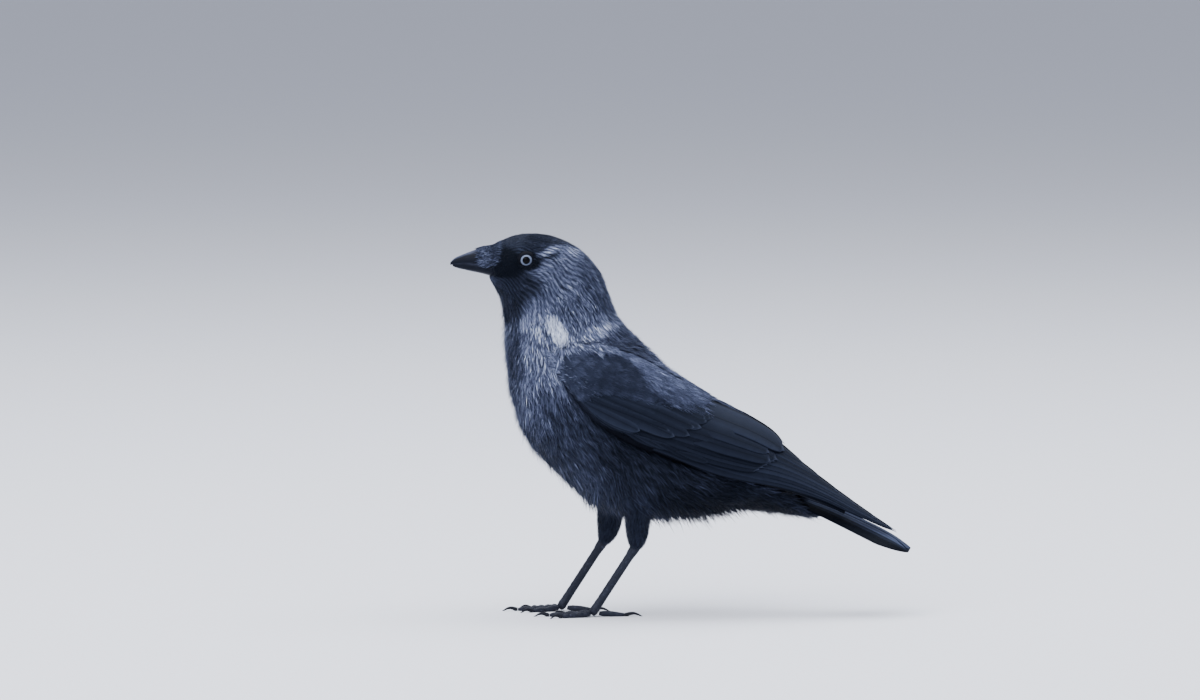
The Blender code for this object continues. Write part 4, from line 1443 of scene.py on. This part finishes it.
class OBJECT_OT_jackdaw_back(JackdawOperator):
    """Broad, ragged feathers of mantle, back and rump"""

    bl_idname = "object.jackdaw_back"
    bl_label = "Mantle and rump"

    def make(self, context):
        at, half = (8.5, 12, 19), math.radians(60)
        length, breadth = ramp(at, (9.0, 12.0, 15.0)), ramp(at, (1.9, 2.4, 3.0))
        roots = body_roots((8.7, 19.6), (-half, half), 1500, length, breadth,
                           lambda s, *_: coat_depth(s) * 1.2, 41, 0.14, (9.5, 9.0), 0.34,
                           ((2.5, 8.0, 0.15),), 30.0)
        roots["place"][:, 1] = (roots["place"][:, 1] + 0.5) % 1
        roots["place"][:, 0] *= 0.6
        roots = unburied(joined([roots, self.between_the_wings()]), the_form())
        look = plumage_material("mantle_plumage", 0.8)
        lay_tufts("coat_back", "breast_plumage", roots, look, (5, 2, 0.24, 0.22, 6), 0.1, 0.08, 41)

    @staticmethod
    def between_the_wings():
        """Roots of the feathers that close over the rump."""
        span = (2.7, 7.0)
        u, c = spread_over(saddle, span, (-0.90, 0.90), 900)
        dice = np.random.default_rng(42)
        up = normals_of(saddle, u, c, np.tile((0.0, 0.0, 1.0), (len(u), 1)))
        place = np.stack([0.62 + 0.38 * (u - span[0]) / (span[1] - span[0]), c / 2 + 0.5], 1)
        long = np.interp(u, span, (12.0, 16.0)) * dice.uniform(0.85, 1.1, len(u))
        tone = np.interp(u, (2.7, 4.5, 6.0, 7.0), (0.38, 0.34, 0.20, 0.12))
        _, along, off = plume(*distances(saddle, span, (-1.0, 1.0), u, c), (9.5, 9.0))
        inward = 1 - c**4  # 0 along the wings' edges
        lift = 0.9 * (0.75 + 0.4 * along * inward)
        # the last argument paints shade at the roots and sides of whole feathers
        return make_roots(saddle(u, c), up, flow_of(saddle, u, c), long, 2.6, lift, place, 0.14, dice, tone,
                          feather_shade(0.34 * inward, along, off))


lesser_edge = ramp((0.25, 0.38, 0.48, 0.60, 0.77, 1.0), (4.6, 4.5, 3.6, 2.65, 2.1, 1.9))  # u at d


class OBJECT_OT_jackdaw_scapulars(JackdawOperator):
    """Long shaggy scapulars over the upper part of each folded wing"""

    bl_idname = "object.jackdaw_scapulars"
    bl_label = "Scapulars"

    def make(self, context):
        def lift(u, d):
            return np.interp(d, (0.0, 0.1, 0.3), (1.0, 1.2, 0.9))

        def tone(u, d):
            down = np.interp(d, (0.0, 0.05, 0.30), (0.41, 0.39, 0.29))
            return down * np.interp(u, (0.6, 3.0, 4.6), (1.0, 1.0, 0.92))

        def thick_above(u, d):
            edge = np.interp(u, (0.6, 2.6, 3.6, 4.75), (0.02, 0.06, 0.34, 0.36))
            return (d < edge) * np.interp(d, (0.0, 0.35), (1.0, 0.6)) + 1e-6

        roots = wing_roots((0.6, 4.75), (0.0, 0.46), 1050, ramp((0.6, 2.5, 4.6), (8.0, 15.0, 18.0)),
                           ramp((0.6, 4.6), (2.0, 3.0)), lift, tone, 0.12, 0.12, (13.0, 8.0), 51, thick_above,
                           0.34)
        look = plumage_material("scapular_plumage", 0.8, 1.3)
        lay_tufts("scapulars", "breast_plumage", roots, look, (5, 2, 0.20, 0.4, 6), 0.3, 0.09, 51)


class OBJECT_OT_jackdaw_shoulders(JackdawOperator):
    """Soft lesser coverts over the bend of each wing"""

    bl_idname = "object.jackdaw_shoulders"
    bl_label = "Lesser coverts"

    def make(self, context):
        def lift(u, d):
            return np.interp(d, (0.0, 0.08), (0.5, 0.8))

        def tone(u, d):
            # rim is a painted highlight along the top edge of the wing, where it turns up to the light
            rim = 0.15 * smooth((0.13 - d) / 0.13) * smooth((3.4 - u) / 1.0)
            ahead = np.interp(u, (1.2, 2.2), (1.12, 0.80)) * np.interp(d, (0.2, 0.7), (1.05, 0.85))
            tips = 0.05 * smooth((u - lesser_edge(d) + 0.5) / 0.5)
            return 0.25 * ahead + rim + tips

        def ahead_of_greater(u, d):
            return (u < lesser_edge(d)) + 1e-6

        length, breadth = ramp((0, 3.0), (4.5, 11.0)), ramp((0, 3.0), (2.2, 3.2))
        roots = wing_roots((0.02, 4.6), (0.0, 1.0), 2100, length, breadth, lift, tone, 0.0, 0.07, (8.0, 7.0),
                           56, ahead_of_greater, 0.3)
        look = plumage_material("shoulder_plumage", 0.9, 0.6)
        lay_tufts("lesser_coverts", "wing_plumage", roots, look, (4, 1, 0.34, 0.12, 6), 0.1, 0.06, 56)


class OBJECT_OT_jackdaw_thighs(JackdawOperator):
    """Fine short plumage of the feathered thighs"""

    bl_idname = "object.jackdaw_thighs"
    bl_label = "Thigh plumage"

    def make(self, context):
        tables = []
        for side, sign in SIDES:
            surface, dice = thigh_shell(side), np.random.default_rng(61 + int(sign))
            t, a = spread_over(surface, (0.0, THIGH_END - 0.12), (0, 2 * math.pi), 1500)
            point, up = thigh_shell(side, THIGH_COAT)(t, a), normals_of(surface, t, a)
            length = np.interp(t, (0, 3, THIGH_END), (7.0, 5.5, 3.2))
            lift = np.interp(t, (0, 4, THIGH_END), (1.4, 1.2, 0.5))
            place = on_half_map(sign, t / THIGH_END, a / (2 * math.pi))
            shade = dice.uniform(0.8, 1.2, len(t))
            flow = flow_of(surface, t, a)
            tables.append(make_roots(point, up, flow, length, 1.2, lift, place, 0.14, dice, 0.15, shade))
            # wisps of the flank that fall over the top of the thigh
            t = dice.uniform(-0.95, 0.75, 520)
            a = (0.0 if sign > 0 else math.pi) + dice.uniform(-1.5, 1.5, len(t))
            point, up = surface(t, a), normals_of(surface, t, a)
            fall = unit(flow_of(surface, t, a) + np.array([0.12, 0.0, 0.0]))
            tone = tone_of(point) * dice.uniform(0.6, 1.5, len(t))
            place = on_half_map(sign, (t + 1) * 0.3125, a / (2 * math.pi) % 1)
            length = dice.uniform(10, 17, len(t))
            tables.append(make_roots(point, up, fall, length, 1.0, 1.7, place, 0.2, dice, tone, free=0.25))
        look = plumage_material("thigh_plumage")
        lay_tufts("coat_thighs", "belly_plumage", joined(tables), look, (4, 1, 0.26, 0.4, 5), 0.02, 0.05, 61)


class OBJECT_OT_jackdaw_coverts(JackdawOperator):
    """Rows of coverts over the front half of each folded wing"""

    bl_idname = "object.jackdaw_coverts"
    bl_label = "Wing coverts"

    # Rows: feathers, places (u, d) their tips run through, length, breadth, lift and tone. Those without a
    # length reach back under the lesser coverts.
    FEATHERS = (
        (14, ((3.4, 1.0), (4.02, 0.85), (4.45, 0.76), (4.85, 0.66), (5.2, 0.54), (5.38, 0.40), (5.4, 0.24)),
         None, 10.0, 0.35, 0.115),  # greater coverts
        (5, ((4.4, 0.945), (6.0, 0.94)), 19.0, 4.0, 0.35, 0.09),  # primary coverts
        (3, ((3.5, 0.93), (4.2, 0.92)), 15.0, 4.4, 0.60, 0.13),  # alula
    )

    def make(self, context):
        look = vane_material("covert_plumage", 0.22, 0.5)
        for side, sign in SIDES:
            surface, dice = wing_shell(sign), np.random.default_rng(71 + int(sign))
            laid = []
            for count, tips, length, breadth, lift, tone in self.FEATHERS:
                for k in range(count):
                    at = (k + 0.5) / count * (len(tips) - 1)
                    u, d = through_straight(tips, at)
                    u += dice.normal(0, 0.03)
                    ends = surface(np.array([u, lesser_edge(d) - 0.35]), np.array([d, d]))
                    long = (length or np.linalg.norm(ends[1] - ends[0])) * dice.uniform(0.98, 1.04)
                    sunk = 1.2 * smooth((d - 0.80) / 0.12)
                    shade = max(tone + dice.normal(0, 0.02), 0.0)
                    laid.append((u, d, long, breadth, lift + 0.07 * k - sunk, shade))
            u, d, length, breadth, lift, tone = np.array(laid).T
            flow = flow_of(surface, u, np.clip(d, 0, 1)) + np.array([0.0, 0.0, -0.05]) * (d[:, None] > 0.9)
            up = normals_of(surface, u, np.clip(d, 0.02, 0.98), np.tile((0.0, sign, 0.2), (len(u), 1)))
            point = surface(u, d, 0.7) - flow * length[:, None]
            place = np.stack([u / 8, d], 1)
            roots = make_roots(point, up, flow, length, breadth, lift, place, 0.05, dice, tone)
            meshes = [vane_mesh(f"covert_{i}", 23, 9, 2.2, 0.02, 700 + i) for i in range(5)]
            coverts = lay_coat(f"coverts_{side}", roots, meshes, look, 0.05, 0.22, 71)
            dress(coverts, "wing_plumage", f"wing_coverts_{side}")


def through_straight(rows, at):
    """The row at a place along straight lines through rows of numbers."""
    return [np.interp(at, range(len(rows)), column) for column in zip(*rows)]


def rounded(t, start):
    """How wide a feather is left along it where its end is rounded from start on."""
    return np.sqrt(np.maximum(1 - np.clip((t - start) / (1 - start), 0, 1) ** 2, 0.0)) * 0.985 + 0.015


def closed_feather(t, sheet):
    """One long closed feather: sheet takes v from -1 to 1 across it and its height, and gives points at t."""
    across = np.linspace(-1, 1, 9)
    ways = [(v, True) for v in across] + [(v, False) for v in across[::-1]]
    points, faces = closed_loft(np.stack([sheet(v, upper) for v, upper in ways], 1))
    patch = np.stack([np.stack([t, np.full(len(t), 0.5 + 0.5 * v), np.zeros(len(t))], 1) for v, _ in ways], 1)
    return points, faces, patch.reshape(-1, 3)


def wing_feather(surface, tip_u, lows, widths, lifts, tip, thick):
    """A feather of a wing, from root to tip: its low edge as d, its width and its lift in mm."""
    t = np.linspace(0, 1, 44)
    u = np.interp(t, (0, 1), tip_u)
    low, wide, lift = (np.interp(t, np.linspace(0, 1, len(row)), row) for row in (lows, widths, lifts))
    deep = np.linalg.norm(surface(u, np.ones(len(t))) - surface(u, np.zeros(len(t))), axis=1)
    close, share = rounded(t, tip), wide / np.maximum(deep, 1.5)

    def sheet(v, upper):
        d = np.clip(low - share * 0.36 + share * (0.36 if v > 0 else 0.64) * v * close, -0.02, 1.0)
        height = lift + 0.22 * (1 - v * v) + (thick if upper else 0.0)
        return surface(u - 0.10 * (1 - close) * abs(v), d, height)

    return closed_feather(t, sheet)


def feather_piece(name, feathers, material, tones, seed):
    """One piece of several closed feathers, with a tone and a tint for each."""
    dice = np.random.default_rng(seed)
    patches, tone, tint = [], [], []
    for (points, _, patch), shade in zip(feathers, tones):
        patch = patch.copy()
        patch[:, 2] = dice.random()
        patches.append(patch)
        tone.append(np.full(len(points), shade))
        tint.append(np.full(len(points), dice.random()))
    points, faces = merged([feather[:2] for feather in feathers])
    return outward(make_object(name, points, faces, material, tone=np.concatenate(tone),
                               tint=np.concatenate(tint), patch=np.concatenate(patches)))


class OBJECT_OT_jackdaw_flight(JackdawOperator):
    """Primaries, secondaries and tertials of each folded wing, over a dark core"""

    bl_idname = "object.jackdaw_flight"
    bl_label = "Flight feathers"

    # tertials: where each ends, its low edge, widths and tone, from the lowest to the topmost
    TERTIALS = (
        (7.34, (0.84, 0.79, 0.77, 0.72), (11.0, 13.0, 14.0, 12.0), 0.11),
        (7.22, (0.70, 0.64, 0.61, 0.58), (11.0, 13.5, 14.0, 11.0), 0.14),
        (7.60, (0.48, 0.45, 0.43, 0.42), (16.0, 20.0, 20.5, 18.0), 0.17),
    )

    def make(self, context):
        look = vane_material("flight_feathers", 0.6, 0.45)
        for side, sign in SIDES:
            feathers, tones = zip(*self.feathers(sign))
            piece = feather_piece(f"flight_{side}", feathers, look, tones, 81)
            dress(piece, "wing_plumage", f"wing_secondaries_{side}", f"wing_primaries_{side}")

    def feathers(self, sign):
        """Dark cores, primaries, secondaries and tertials of one wing, each with its tone."""
        chosen, surface = settings("jackdaw_wing"), wing_shell(sign)
        thick = chosen.thickness / MM
        for core in (-1.5, 0.05, 0.0, 9.6, 0.6), (0.3, 0.04, 0.05, 3.2, 1.0):
            points, faces = wing_solid(sign, *core)
            yield (points, faces, np.full((len(points), 3), 0.5)), 0.0
        for k in range(chosen.primaries):
            share = k / (chosen.primaries - 1)  # 0 is the outermost, lowest in the wing
            tip = np.interp(share, (0, 0.12, 0.25, 0.38, 0.5, 1), (10.4, 10.9, 11.0, 10.85, 10.4, 8.2))
            ends = ((1.0, 0.76), (1.0, 0.60), (0.95, 0.36), (0.84, 0.20))
            lows = [np.interp(share, (0, 1), pair) for pair in ends]
            lift = -1.05 + 0.20 * k
            yield wing_feather(surface, (4.6, tip), lows, (5.0, 9.0, 9.5, 8.0, 6.0), (-1.2, lift, lift), 0.82,
                               thick), 0.09 + 0.05 * (k % 2) + 0.03 * share
        for k in range(chosen.secondaries):
            share = k / (chosen.secondaries - 1)
            lows = (0.97 - 0.13 * share, 0.94 - 0.24 * share, 0.88 - 0.27 * share)
            lift = 0.05 + 0.20 * k
            yield wing_feather(surface, (3.4, 7.15 + 0.35 * share), lows, (7.0, 10.0, 10.5, 10.0),
                               (-0.9, lift, lift), 0.86, thick), 0.05 + 0.05 * (k % 2)
        for k, (tip, lows, widths, tone) in enumerate(self.TERTIALS):
            lift = 1.25 + 0.28 * k
            yield wing_feather(surface, (3.6, tip), lows, widths, (-0.6, 0.3, lift, lift), 0.86, thick), tone


class OBJECT_OT_jackdaw_tail(JackdawOperator):
    """Twelve tail feathers, nearly closed"""

    bl_idname = "object.jackdaw_tail"
    bl_label = "Tail"

    # painted light and shade: the middle pairs are painted pale where the sky lights the top of the tail, the
    # outer pairs black where they lie in shade below
    TONES = (0.50, 0.72, 0.60, 0.12, 0.0, 0.0)  # from the middle pair out

    def make(self, context):
        pairs = [(k, sign) for k in range(len(self.TONES)) for sign in (-1.0, 1.0)]
        feathers = [self.feather(k, sign) for k, sign in pairs]
        look = vane_material("tail_feathers", 0.12, 0.45, 0.03)
        tones = [self.TONES[k] for k, _ in pairs]
        dress(feather_piece("tail_fan", feathers, look, tones, 91), "tail_plumage", "tail")

    @staticmethod
    def feather(k, sign):
        t = np.linspace(0, 1, 50)
        place, close = np.interp(t, (0, 1), (0.3, 5.88 - 0.06 * k)), rounded(t, 0.86)
        middle = sign * (0.10 + 0.15 * k) * np.interp(t, (0, 0.6), (0.6, 1.0))
        half = np.interp(t, (0, 0.5, 1), (3.0, 6.5, 8.0)) * close
        rib = np.maximum(through([(row[1],) for row in TAIL_RIBS], place)[:, 0], 9.0)

        def sheet(v, upper):
            inner = 1.15 if v * sign < 0 else 0.55
            c = np.clip(middle + v * half * inner / rib, -1.04, 1.04)
            lift = -0.22 * k + (0.0 if sign < 0 else 0.15) + 0.3 * (1 - v * v) + (0.28 if upper else 0)
            return tail_shell(place - 0.12 * (1 - close) * abs(v), c, lift)

        return closed_feather(t, sheet)


class OBJECT_OT_jackdaw_bill(JackdawOperator):
    """Both halves of the closed bill"""

    bl_idname = "object.jackdaw_bill"
    bl_label = "Bill"

    def make(self, context):
        chosen = settings("jackdaw_head")
        look = horn_material("bill_horn", chosen.horn, chosen.worn, 0.16)
        for name, upper in (("upper_bill", True), ("lower_bill", False)):
            points, faces = bill_half(upper)
            _, culmen, edge, keel, _ = bill_rows(points[:, 0])
            high = (culmen if upper else keel) - edge
            share = (points[:, 2] - edge) / np.where(np.abs(high) < 0.2, 0.2, high)
            # paler along the culmen of the upper half and, fainter, the keel of the lower: a painted
            # highlight; the next line adds wear along the cutting edges
            wear = smooth((share - 0.72) / 0.28) * (1.0 if upper else 0.45)
            wear = wear + 0.35 * smooth((0.16 - share) / 0.16)
            wear = wear * smooth((-84.0 - points[:, 0]) / 10.0)
            half = outward(make_object(name, points, faces, look, wear=wear))
            dress(half, "bill_horn", "bill_upper" if upper else "bill_lower")


class OBJECT_OT_jackdaw_eyes(JackdawOperator):
    """Pale eyes with black lids"""

    bl_idname = "object.jackdaw_eyes"
    bl_label = "Eyes"

    DEPTH, BALL_ROUND, LID_ROUND = 10.1, 64, 56
    # a lid's section: distance out from the rim, and height over the ball's surface or over the rim
    LID = ((0.35, -0.9), (-0.05, 0.02), (0.0, 0.26), (0.22, 0.40), (0.55, 0.36), (0.85, 0.16), (1.25, 0.10),
           (1.7, -0.25), (2.3, -1.0), (2.2, -2.2))

    def make(self, context):
        chosen = settings("jackdaw_head")
        pupil, lid = chosen.pupil / MM, chosen.lid / MM
        iris, black = iris_material(), lid_material()
        for side, sign in SIDES:
            turn = np.linspace(0, 2 * math.pi, self.BALL_ROUND, endpoint=False)
            rings = []
            for polar in np.linspace(0.02, math.pi - 0.02, 44):
                radius, deep = EYE_RADIUS * math.sin(polar), EYE_RADIUS * math.cos(polar)
                dome = 0.35 * math.exp(-((radius / (pupil * 1.25)) ** 2)) if deep > 0 else 0.0
                rings.append(self.ring(radius, turn, sign * (self.DEPTH + deep + dome)))
            points, faces = closed_loft(rings)
            turn = np.arctan2(points[:, 2] - EYE_CENTRE[1], points[:, 0] - EYE_CENTRE[0])
            reach = eye_reach(points) / lid
            eye = make_object(f"eyeball_{side}", points, faces, iris, reach=reach, turn=turn)
            dress(outward(eye), "iris", f"eye_{side}")
            dress(self.lids(side, sign, lid, black), "cap_plumage")

    @staticmethod
    def ring(radius, turn, depth):
        return np.stack([EYE_CENTRE[0] + radius * np.cos(turn), depth + 0 * turn,
                         EYE_CENTRE[1] + radius * np.sin(turn)], 1)

    def lids(self, side, sign, lid, material):
        """A ring of puckered skin that closes round the ball."""
        turn = np.linspace(0, 2 * math.pi, self.LID_ROUND, endpoint=False)
        rows = []
        for out, high in self.LID:
            pucker = 0.07 * np.sin(turn * 14 + out * 3) * np.clip(out, 0, 1)
            radius = (lid + out + pucker) * (1 + 0.045 * np.cos(2 * (turn - 0.25)))
            depth = self.DEPTH + math.sqrt(EYE_RADIUS**2 - lid**2) + high + 0.05 * np.sin(turn * 9)
            if out < 0:
                depth = self.DEPTH + np.sqrt(np.maximum(EYE_RADIUS**2 - radius**2, 0)) + 0.03
            rows.append(self.ring(radius, turn, sign * depth))
        count = len(self.LID)
        faces = [
            (i * count + k, i * count + m, j * count + m, j * count + k)
            for i, j in ((i, (i + 1) % self.LID_ROUND) for i in range(self.LID_ROUND))
            for k, m in ((k, (k + 1) % count) for k in range(count))]
        return outward(make_object(f"lids_{side}", np.stack(rows, 1).reshape(-1, 3), faces, material))


# ---------------------------------------------------------------- legs


def limb(centres, wide, tall, side, count, relief=None):
    """Rings of a limb down a line of centres. relief adds to the radius, from a ring and its angles."""
    ahead = unit(np.gradient(centres, axis=0))
    across = unit(np.asarray(side, float) - ahead * np.sum(ahead * side, 1, keepdims=True))
    deep = np.cross(ahead, across)
    angles = np.linspace(0, 2 * math.pi, count, endpoint=False)
    rings = []
    for i, centre in enumerate(centres):
        more = relief(i, angles) if relief else 0.0
        rings.append(centre + across[i] * ((wide[i] + more) * np.cos(angles))[:, None]
                     + deep[i] * ((tall[i] + more) * np.sin(angles))[:, None])
    return np.array(rings)


def above_floor(rings, least=0.0):
    rings[..., 2] = np.maximum(rings[..., 2], least)
    return rings


def saw(t, count):
    """Overlapping scales: a swelling towards the end of each, then a quick drop."""
    x = (t * count) % 1
    return x**1.5 * (1 - x**6)


def tarsus_rings(side):
    sign = dict(SIDES)[side]
    (x, z), _ = THIGHS[side][-1]
    ankle = np.array([x, sign * LEG_SIDE, z])
    foot = np.array([FOOT_SPOT[side], sign * FOOT_SIDE, FOOT_HEIGHT])
    t = np.concatenate([np.linspace(-0.10, 1, 150), 1 + np.linspace(0.01, 0.055, 6)])
    joint, ball = np.exp(-((t / 0.09) ** 2)), np.exp(-(((t - 1) / 0.12) ** 2))
    close = 0.35 + 0.65 * np.clip((1.06 - t) / 0.05, 0, 1) ** 0.5
    wide = (TARSUS_WIDTH + 0.5 * joint + BALL_SWELL * ball) * close
    tall = (TARSUS_DEPTH + 0.6 * joint + 0.2 * ball) * close
    scutes = settings("jackdaw_legs").scutes
    ahead = unit(foot - ankle)
    deep = np.cross(ahead, unit(np.array([0.0, 1.0, 0.0]) - ahead * ahead[1]))
    front = 1.0 if deep[0] > 0 else -1.0

    def relief(i, angles):
        facing = np.cos(angles - math.pi * 1.5) * front
        scales = 0.24 * saw(t[i], scutes) * np.clip(facing, 0, 1) ** 0.4
        return scales + 0.07 * np.sin(t[i] * 150 + angles * 2) * np.clip(-facing, 0, 1)

    centres = ankle + (foot - ankle) * t[:, None]
    return above_floor(limb(centres, wide, tall, (0.0, 1.0, 0.0), 32, relief), 0.02)


def toe_line(side, name):
    """Centre line, radius, heading and stations of a toe, with a pad under each phalanx, all on the floor."""
    sign = dict(SIDES)[side]
    angle, before, aside, length, phalanges, _, _ = TOES[name]
    heading = math.radians(angle)
    ahead = np.array([-math.cos(heading), -sign * math.sin(heading), 0.0])
    root = np.array([FOOT_SPOT[side] - before, sign * FOOT_SIDE - sign * aside, 0.0])
    t = np.linspace(0, 1, 64)
    pad = TOE_PAD * np.cos(2 * math.pi * phalanges * (t - 0.5 / phalanges))
    slim = TOE_ROOT_RADIUS + (TOE_RADIUS - TOE_ROOT_RADIUS) * np.minimum(t / 0.2, 1.0)
    radius = (slim + (TOE_TIP_RADIUS - slim) * t) * (1 + pad)
    height = radius * TOE_PRESS + TOE_RISE * (1 - t) ** 5
    return root + ahead * length * t[:, None] + np.stack([0 * t, 0 * t, height], 1), radius, ahead, t


def toe_rings(side, name):
    centres, radius, ahead, t = toe_line(side, name)
    radius = radius * np.sqrt(np.clip(1 - ((t - 0.93) / 0.085).clip(0, 1) ** 2, 0.02, 1))
    across, scales = np.array([ahead[1], -ahead[0], 0.0]), TOES[name][5]
    top = 1.0 if np.cross(ahead, across)[2] > 0 else -1.0

    def relief(i, angles):
        above = np.sin(angles) * top
        ridges = 0.05 * np.sin(t[i] * 90) * np.cos(angles * 5) * np.clip(-above, 0, 1)
        return 0.16 * saw(t[i], scales) * np.clip(above, 0, 1) ** 0.5 + ridges

    return above_floor(limb(centres, radius, radius, across, 24, relief))


def claw_rings(side, name):
    """A curved claw from its socket in the toe's end to its point on the floor."""
    centres, _, ahead, _ = toe_line(side, name)
    tip, length = centres[-1], TOES[name][6]
    t = np.linspace(-0.10, 1, 34)
    bow = np.clip(t, 0, 1)
    rise = CLAW_ARCH * np.sin(math.pi * np.minimum(bow * 1.1, 1.0)) - (tip[2] - CLAW_TIP) * bow**1.6
    line = tip + ahead * (CLAW_GAP + length * 0.9 * t)[:, None] + np.stack([0 * t, 0 * t, rise], 1)
    thick = CLAW_RADIUS * (1 - bow) ** 0.7 * 1.02 + CLAW_TIP
    return above_floor(limb(line, thick * 0.74, thick, np.array([ahead[1], -ahead[0], 0.0]), 18))


class OBJECT_OT_jackdaw_legs(JackdawOperator):
    """Scaled shanks and toes, and the claws"""

    bl_idname = "object.jackdaw_legs"
    bl_label = "Legs and claws"

    def make(self, context):
        scales = leg_material()
        horn = horn_material("claw_horn", (0.010, 0.011, 0.016), (0.07, 0.075, 0.10), 1.0)
        for side, _ in SIDES:
            lofts = [tarsus_rings(side)] + [toe_rings(side, name) for name in TOES]
            leg = self.solids(f"leg_{side}", lofts, scales)
            dress(leg, "leg_scales", f"tarsus_{side}", *(f"toe_{name}_{side}" for name in TOES))
            claws = self.solids(f"claws_{side}", [claw_rings(side, name) for name in TOES], horn)
            dress(claws, "claw_horn", *(f"claw_{name}_{side}" for name in TOES))

    @staticmethod
    def solids(name, lofts, material):
        along = np.concatenate([np.repeat(np.linspace(0, 1, len(rings)), rings.shape[1]) for rings in lofts])
        points, faces = merged([closed_loft(rings) for rings in lofts])
        return outward(make_object(name, points, faces, material, wear=smooth((along - 0.75) / 0.25) * 0.5))


# ---------------------------------------------------------------- stage


class OBJECT_OT_jackdaw_stage(JackdawOperator):
    """Pale floor, soft light and the camera"""

    bl_idname = "object.jackdaw_stage"
    bl_label = "Stage"

    FLOOR_RADIUS = 40.0
    FRAME_X, FRAME_Z = -18.2, 161.1  # the middle of the view, in mm
    # name, place, power, size and colour
    LAMPS = (
        ("key", (-1.2, -2.2, 2.6), 185.0, 3.0, (0.96, 0.97, 1.0)),
        ("top", (0.3, 0.4, 2.8), 215.0, 3.4, (0.92, 0.95, 1.0)),
    )
    LIT_SPOT = Vector((0.0, 0.0, 0.14))

    def make(self, context):
        self.floor()
        self.light(context)
        self.camera(context, settings("jackdaw_stage"))

    def floor(self):
        shape = bmesh.new()
        bmesh.ops.create_circle(shape, cap_ends=True, radius=self.FLOOR_RADIUS, segments=96)
        mesh = bpy.data.meshes.new("floor")
        shape.to_mesh(mesh)
        shape.free()
        mesh.materials.append(floor_material())
        obj = bpy.data.objects.new("floor", mesh)
        bpy.context.scene.collection.objects.link(obj)

    def light(self, context):
        world = bpy.data.worlds.new("soft studio")
        context.scene.world = world
        world.use_nodes = True
        sky = world.node_tree.nodes["Background"]
        sky.inputs["Color"].default_value = (0.80, 0.85, 1.0, 1.0)
        sky.inputs["Strength"].default_value = 0.70
        for name, place, power, size, tint in self.LAMPS:
            data = bpy.data.lights.new(name, "AREA")
            data.shape = "SQUARE"
            data.size, data.energy, data.color = size, power, tint
            self.hang(context, name, data, Vector(place), self.LIT_SPOT - Vector(place))

    def camera(self, context, chosen):
        target = Vector(((self.FRAME_X + SHIFT_X) * MM, 0.0, self.FRAME_Z * MM))
        towards = Vector((0.0, -math.cos(chosen.elevation), math.sin(chosen.elevation)))
        data = bpy.data.cameras.new("camera")
        data.lens, data.sensor_width, data.clip_end = chosen.lens, 36.0, 100.0
        place = target + towards * chosen.distance
        context.scene.camera = self.hang(context, "camera", data, place, -towards)

    @staticmethod
    def hang(context, name, data, place, facing):
        obj = bpy.data.objects.new(name, data)
        obj.location = place
        obj.rotation_euler = facing.to_track_quat("-Z", "Y").to_euler()
        context.scene.collection.objects.link(obj)
        return obj


# ---------------------------------------------------------------- add-on

PIECES = (
    OBJECT_OT_jackdaw_skin, OBJECT_OT_jackdaw_eyes, OBJECT_OT_jackdaw_bill, OBJECT_OT_jackdaw_legs,
    OBJECT_OT_jackdaw_head, OBJECT_OT_jackdaw_bristles, OBJECT_OT_jackdaw_body, OBJECT_OT_jackdaw_back,
    OBJECT_OT_jackdaw_thighs, OBJECT_OT_jackdaw_flight, OBJECT_OT_jackdaw_coverts,
    OBJECT_OT_jackdaw_shoulders, OBJECT_OT_jackdaw_scapulars, OBJECT_OT_jackdaw_tail,
    OBJECT_OT_jackdaw_stage,
)
GROUPS = {
    "jackdaw_plumage": PlumageSettings, "jackdaw_wing": WingSettings, "jackdaw_head": HeadSettings,
    "jackdaw_legs": LegSettings, "jackdaw_stage": StageSettings,
}


class VIEW3D_PT_jackdaw(bpy.types.Panel):
    """Lists the pieces of the jackdaw and their settings"""

    bl_label = "Jackdaw"
    bl_idname = "VIEW3D_PT_jackdaw"
    bl_space_type = "VIEW_3D"
    bl_region_type = "UI"
    bl_category = "Jackdaw"

    def draw(self, context):
        column = self.layout.column(align=True)
        for piece in PIECES:
            column.operator(piece.bl_idname)
        for name, group in GROUPS.items():
            box = self.layout.box()
            for key in group.__annotations__:
                box.prop(getattr(context.scene, name), key)


def register():
    for group in GROUPS.values():
        bpy.utils.register_class(group)
    for name, group in GROUPS.items():
        setattr(bpy.types.Scene, name, PointerProperty(type=group))
    for piece in (*PIECES, VIEW3D_PT_jackdaw):
        bpy.utils.register_class(piece)


def unregister():
    for piece in (VIEW3D_PT_jackdaw, *reversed(PIECES)):
        bpy.utils.unregister_class(piece)
    for name in GROUPS:
        delattr(bpy.types.Scene, name)
    for group in reversed(tuple(GROUPS.values())):
        bpy.utils.unregister_class(group)


def main():
    register()
    for piece in PIECES:
        group, name = piece.bl_idname.split(".")
        result = getattr(getattr(bpy.ops, group), name)()
        if "FINISHED" not in result:
            raise RuntimeError(f"{piece.bl_label} was not finished")
    form = bpy.data.objects.get("form")
    if form:
        bpy.data.objects.remove(form)


if __name__ == "__main__":
    main()
